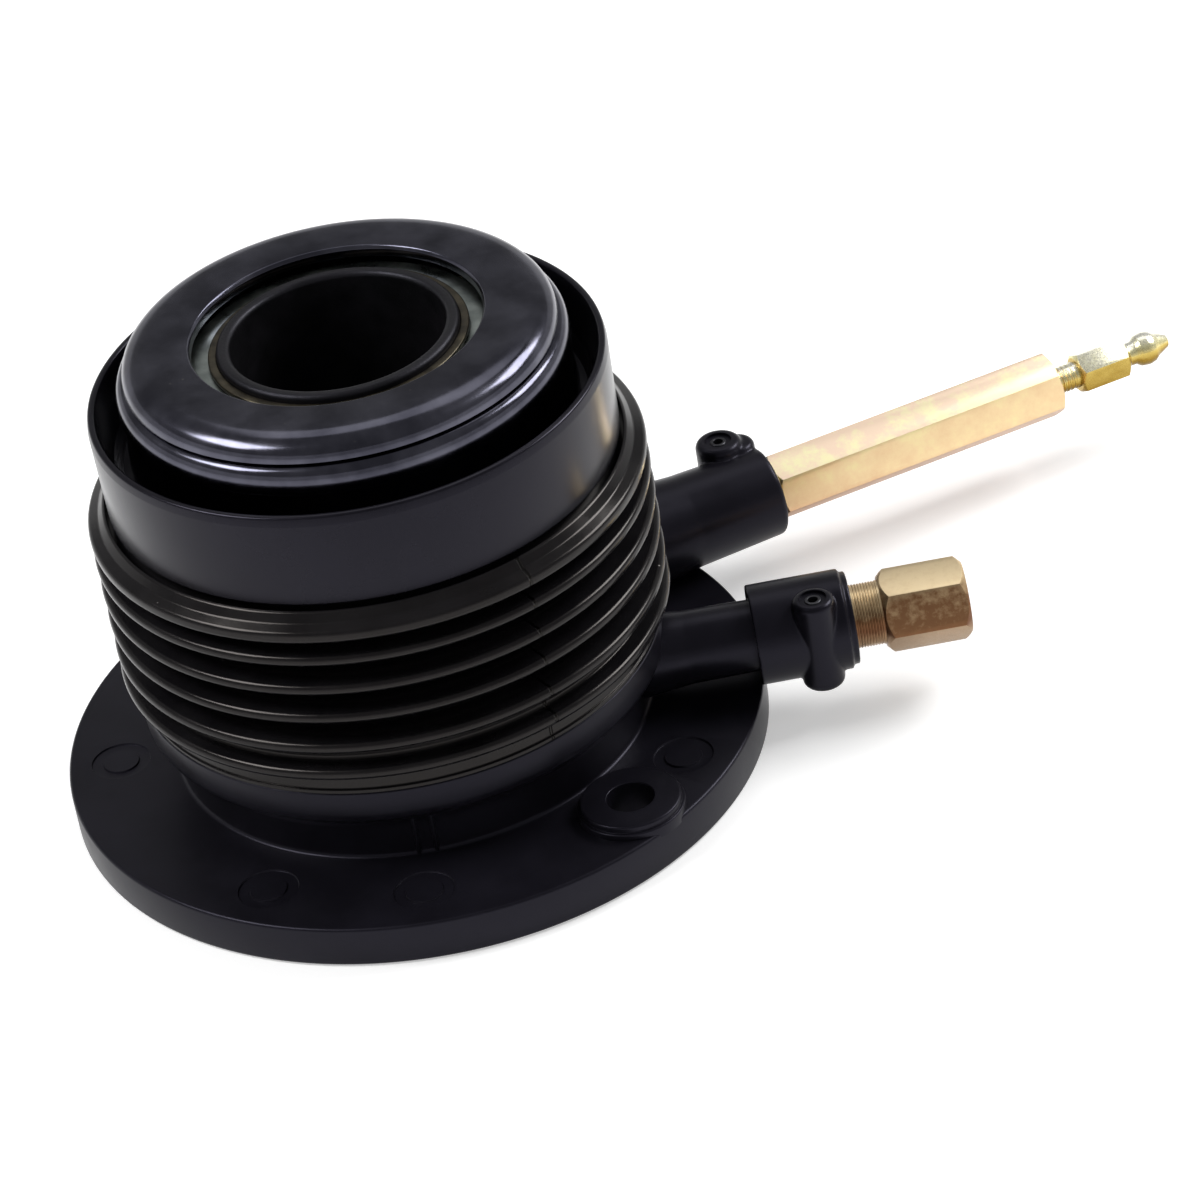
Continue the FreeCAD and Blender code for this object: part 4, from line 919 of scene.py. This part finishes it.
def makeFloor():
    paint = makePaint()
    deselectAll()
    bpy.ops.mesh.primitive_plane_add(size=stage["size"], location=(0, 0, -0.0002))
    floor = bpy.context.object
    floor.name = "floor"
    bpy.ops.mesh.primitive_cylinder_add(vertices=96, radius=stage["size"] / 2 - 0.05,
                                        depth=stage["wall"], end_fill_type="NOTHING",
                                        location=(0, 0, stage["wall"] / 2))
    wall = bpy.context.object
    wall.name = "backWall"
    for piece in (floor, wall):
        piece.data.materials.append(paint)


def makeWorld():
    world = bpy.data.worlds.new("studio")
    bpy.context.scene.world = world
    world.use_nodes = True
    tree = world.node_tree
    tree.nodes.clear()
    light = addNode(tree, "ShaderNodeBackground", {"Color": (1, 1, 1, 1), "Strength": stage["sky"]})
    addNode(tree, "ShaderNodeOutputWorld", links={"Surface": light.outputs["Background"]})


# soft boxes: place and size in metres, watts, and the height on the axis that they point at
lamps = {
    "backLamp": {"location": (0.08, 0.34, 0.64), "size": (0.5, 0.3), "watts": 0.5, "target": 0.05},
    "leftLamp": {"location": (-0.50, -0.06, 0.68), "size": (0.38, 0.28), "watts": 4.0, "target": 0.06},
    "rightLamp": {"location": (0.62, 0.20, 0.54), "size": (0.40, 0.28), "watts": 4.4, "target": 0.06},
}


def addLamp(name, look):
    data = bpy.data.lights.new(name, "AREA")
    data.shape = "RECTANGLE"
    data.size, data.size_y = look["size"]
    data.energy = look["watts"]
    lamp = bpy.data.objects.new(name, data)
    bpy.context.scene.collection.objects.link(lamp)
    lamp.location = look["location"]
    aim(lamp, (0.0, 0.0, look["target"]))


# turns a lamp towards a point
def aim(thing, target):
    goal = bpy.data.objects.new(thing.name + "Aim", None)
    bpy.context.scene.collection.objects.link(goal)
    goal.location = target
    rule = thing.constraints.new("TRACK_TO")
    rule.target = goal
    rule.track_axis = "TRACK_NEGATIVE_Z"
    rule.up_axis = "UP_Y"
    bpy.context.view_layer.update()
    matrix = thing.matrix_world.copy()
    thing.constraints.remove(rule)
    thing.matrix_world = matrix
    bpy.data.objects.remove(goal)


makeFloor()
makeWorld()
for lampName, lampLook in lamps.items():
    addLamp(lampName, lampLook)

# the photograph's camera: place in metres, its three directions and its lens in mm
cameraLook = {
    "location": (0.03567, -0.78078, 0.54498),
    "right": (0.98438, -0.09771, -0.14644),
    "up": (0.17605, 0.54633, 0.81881),
    "back": (0.0, -0.8318, 0.5550),
    "lens": 160.7,
}


def makeCamera(c):
    data = bpy.data.cameras.new("camera")
    data.sensor_width = 36.0
    data.lens = c["lens"]
    data.clip_start = 0.01
    data.clip_end = 20.0
    camera = bpy.data.objects.new("camera", data)
    bpy.context.scene.collection.objects.link(camera)
    rows = [[c["right"][i], c["up"][i], c["back"][i], c["location"][i]] for i in range(3)]
    camera.matrix_world = Matrix(rows + [[0.0, 0.0, 0.0, 1.0]])
    bpy.context.scene.camera = camera


makeCamera(cameraLook)
bpy.context.scene.view_settings.view_transform = "Standard"
print("stage: lamps and camera made")
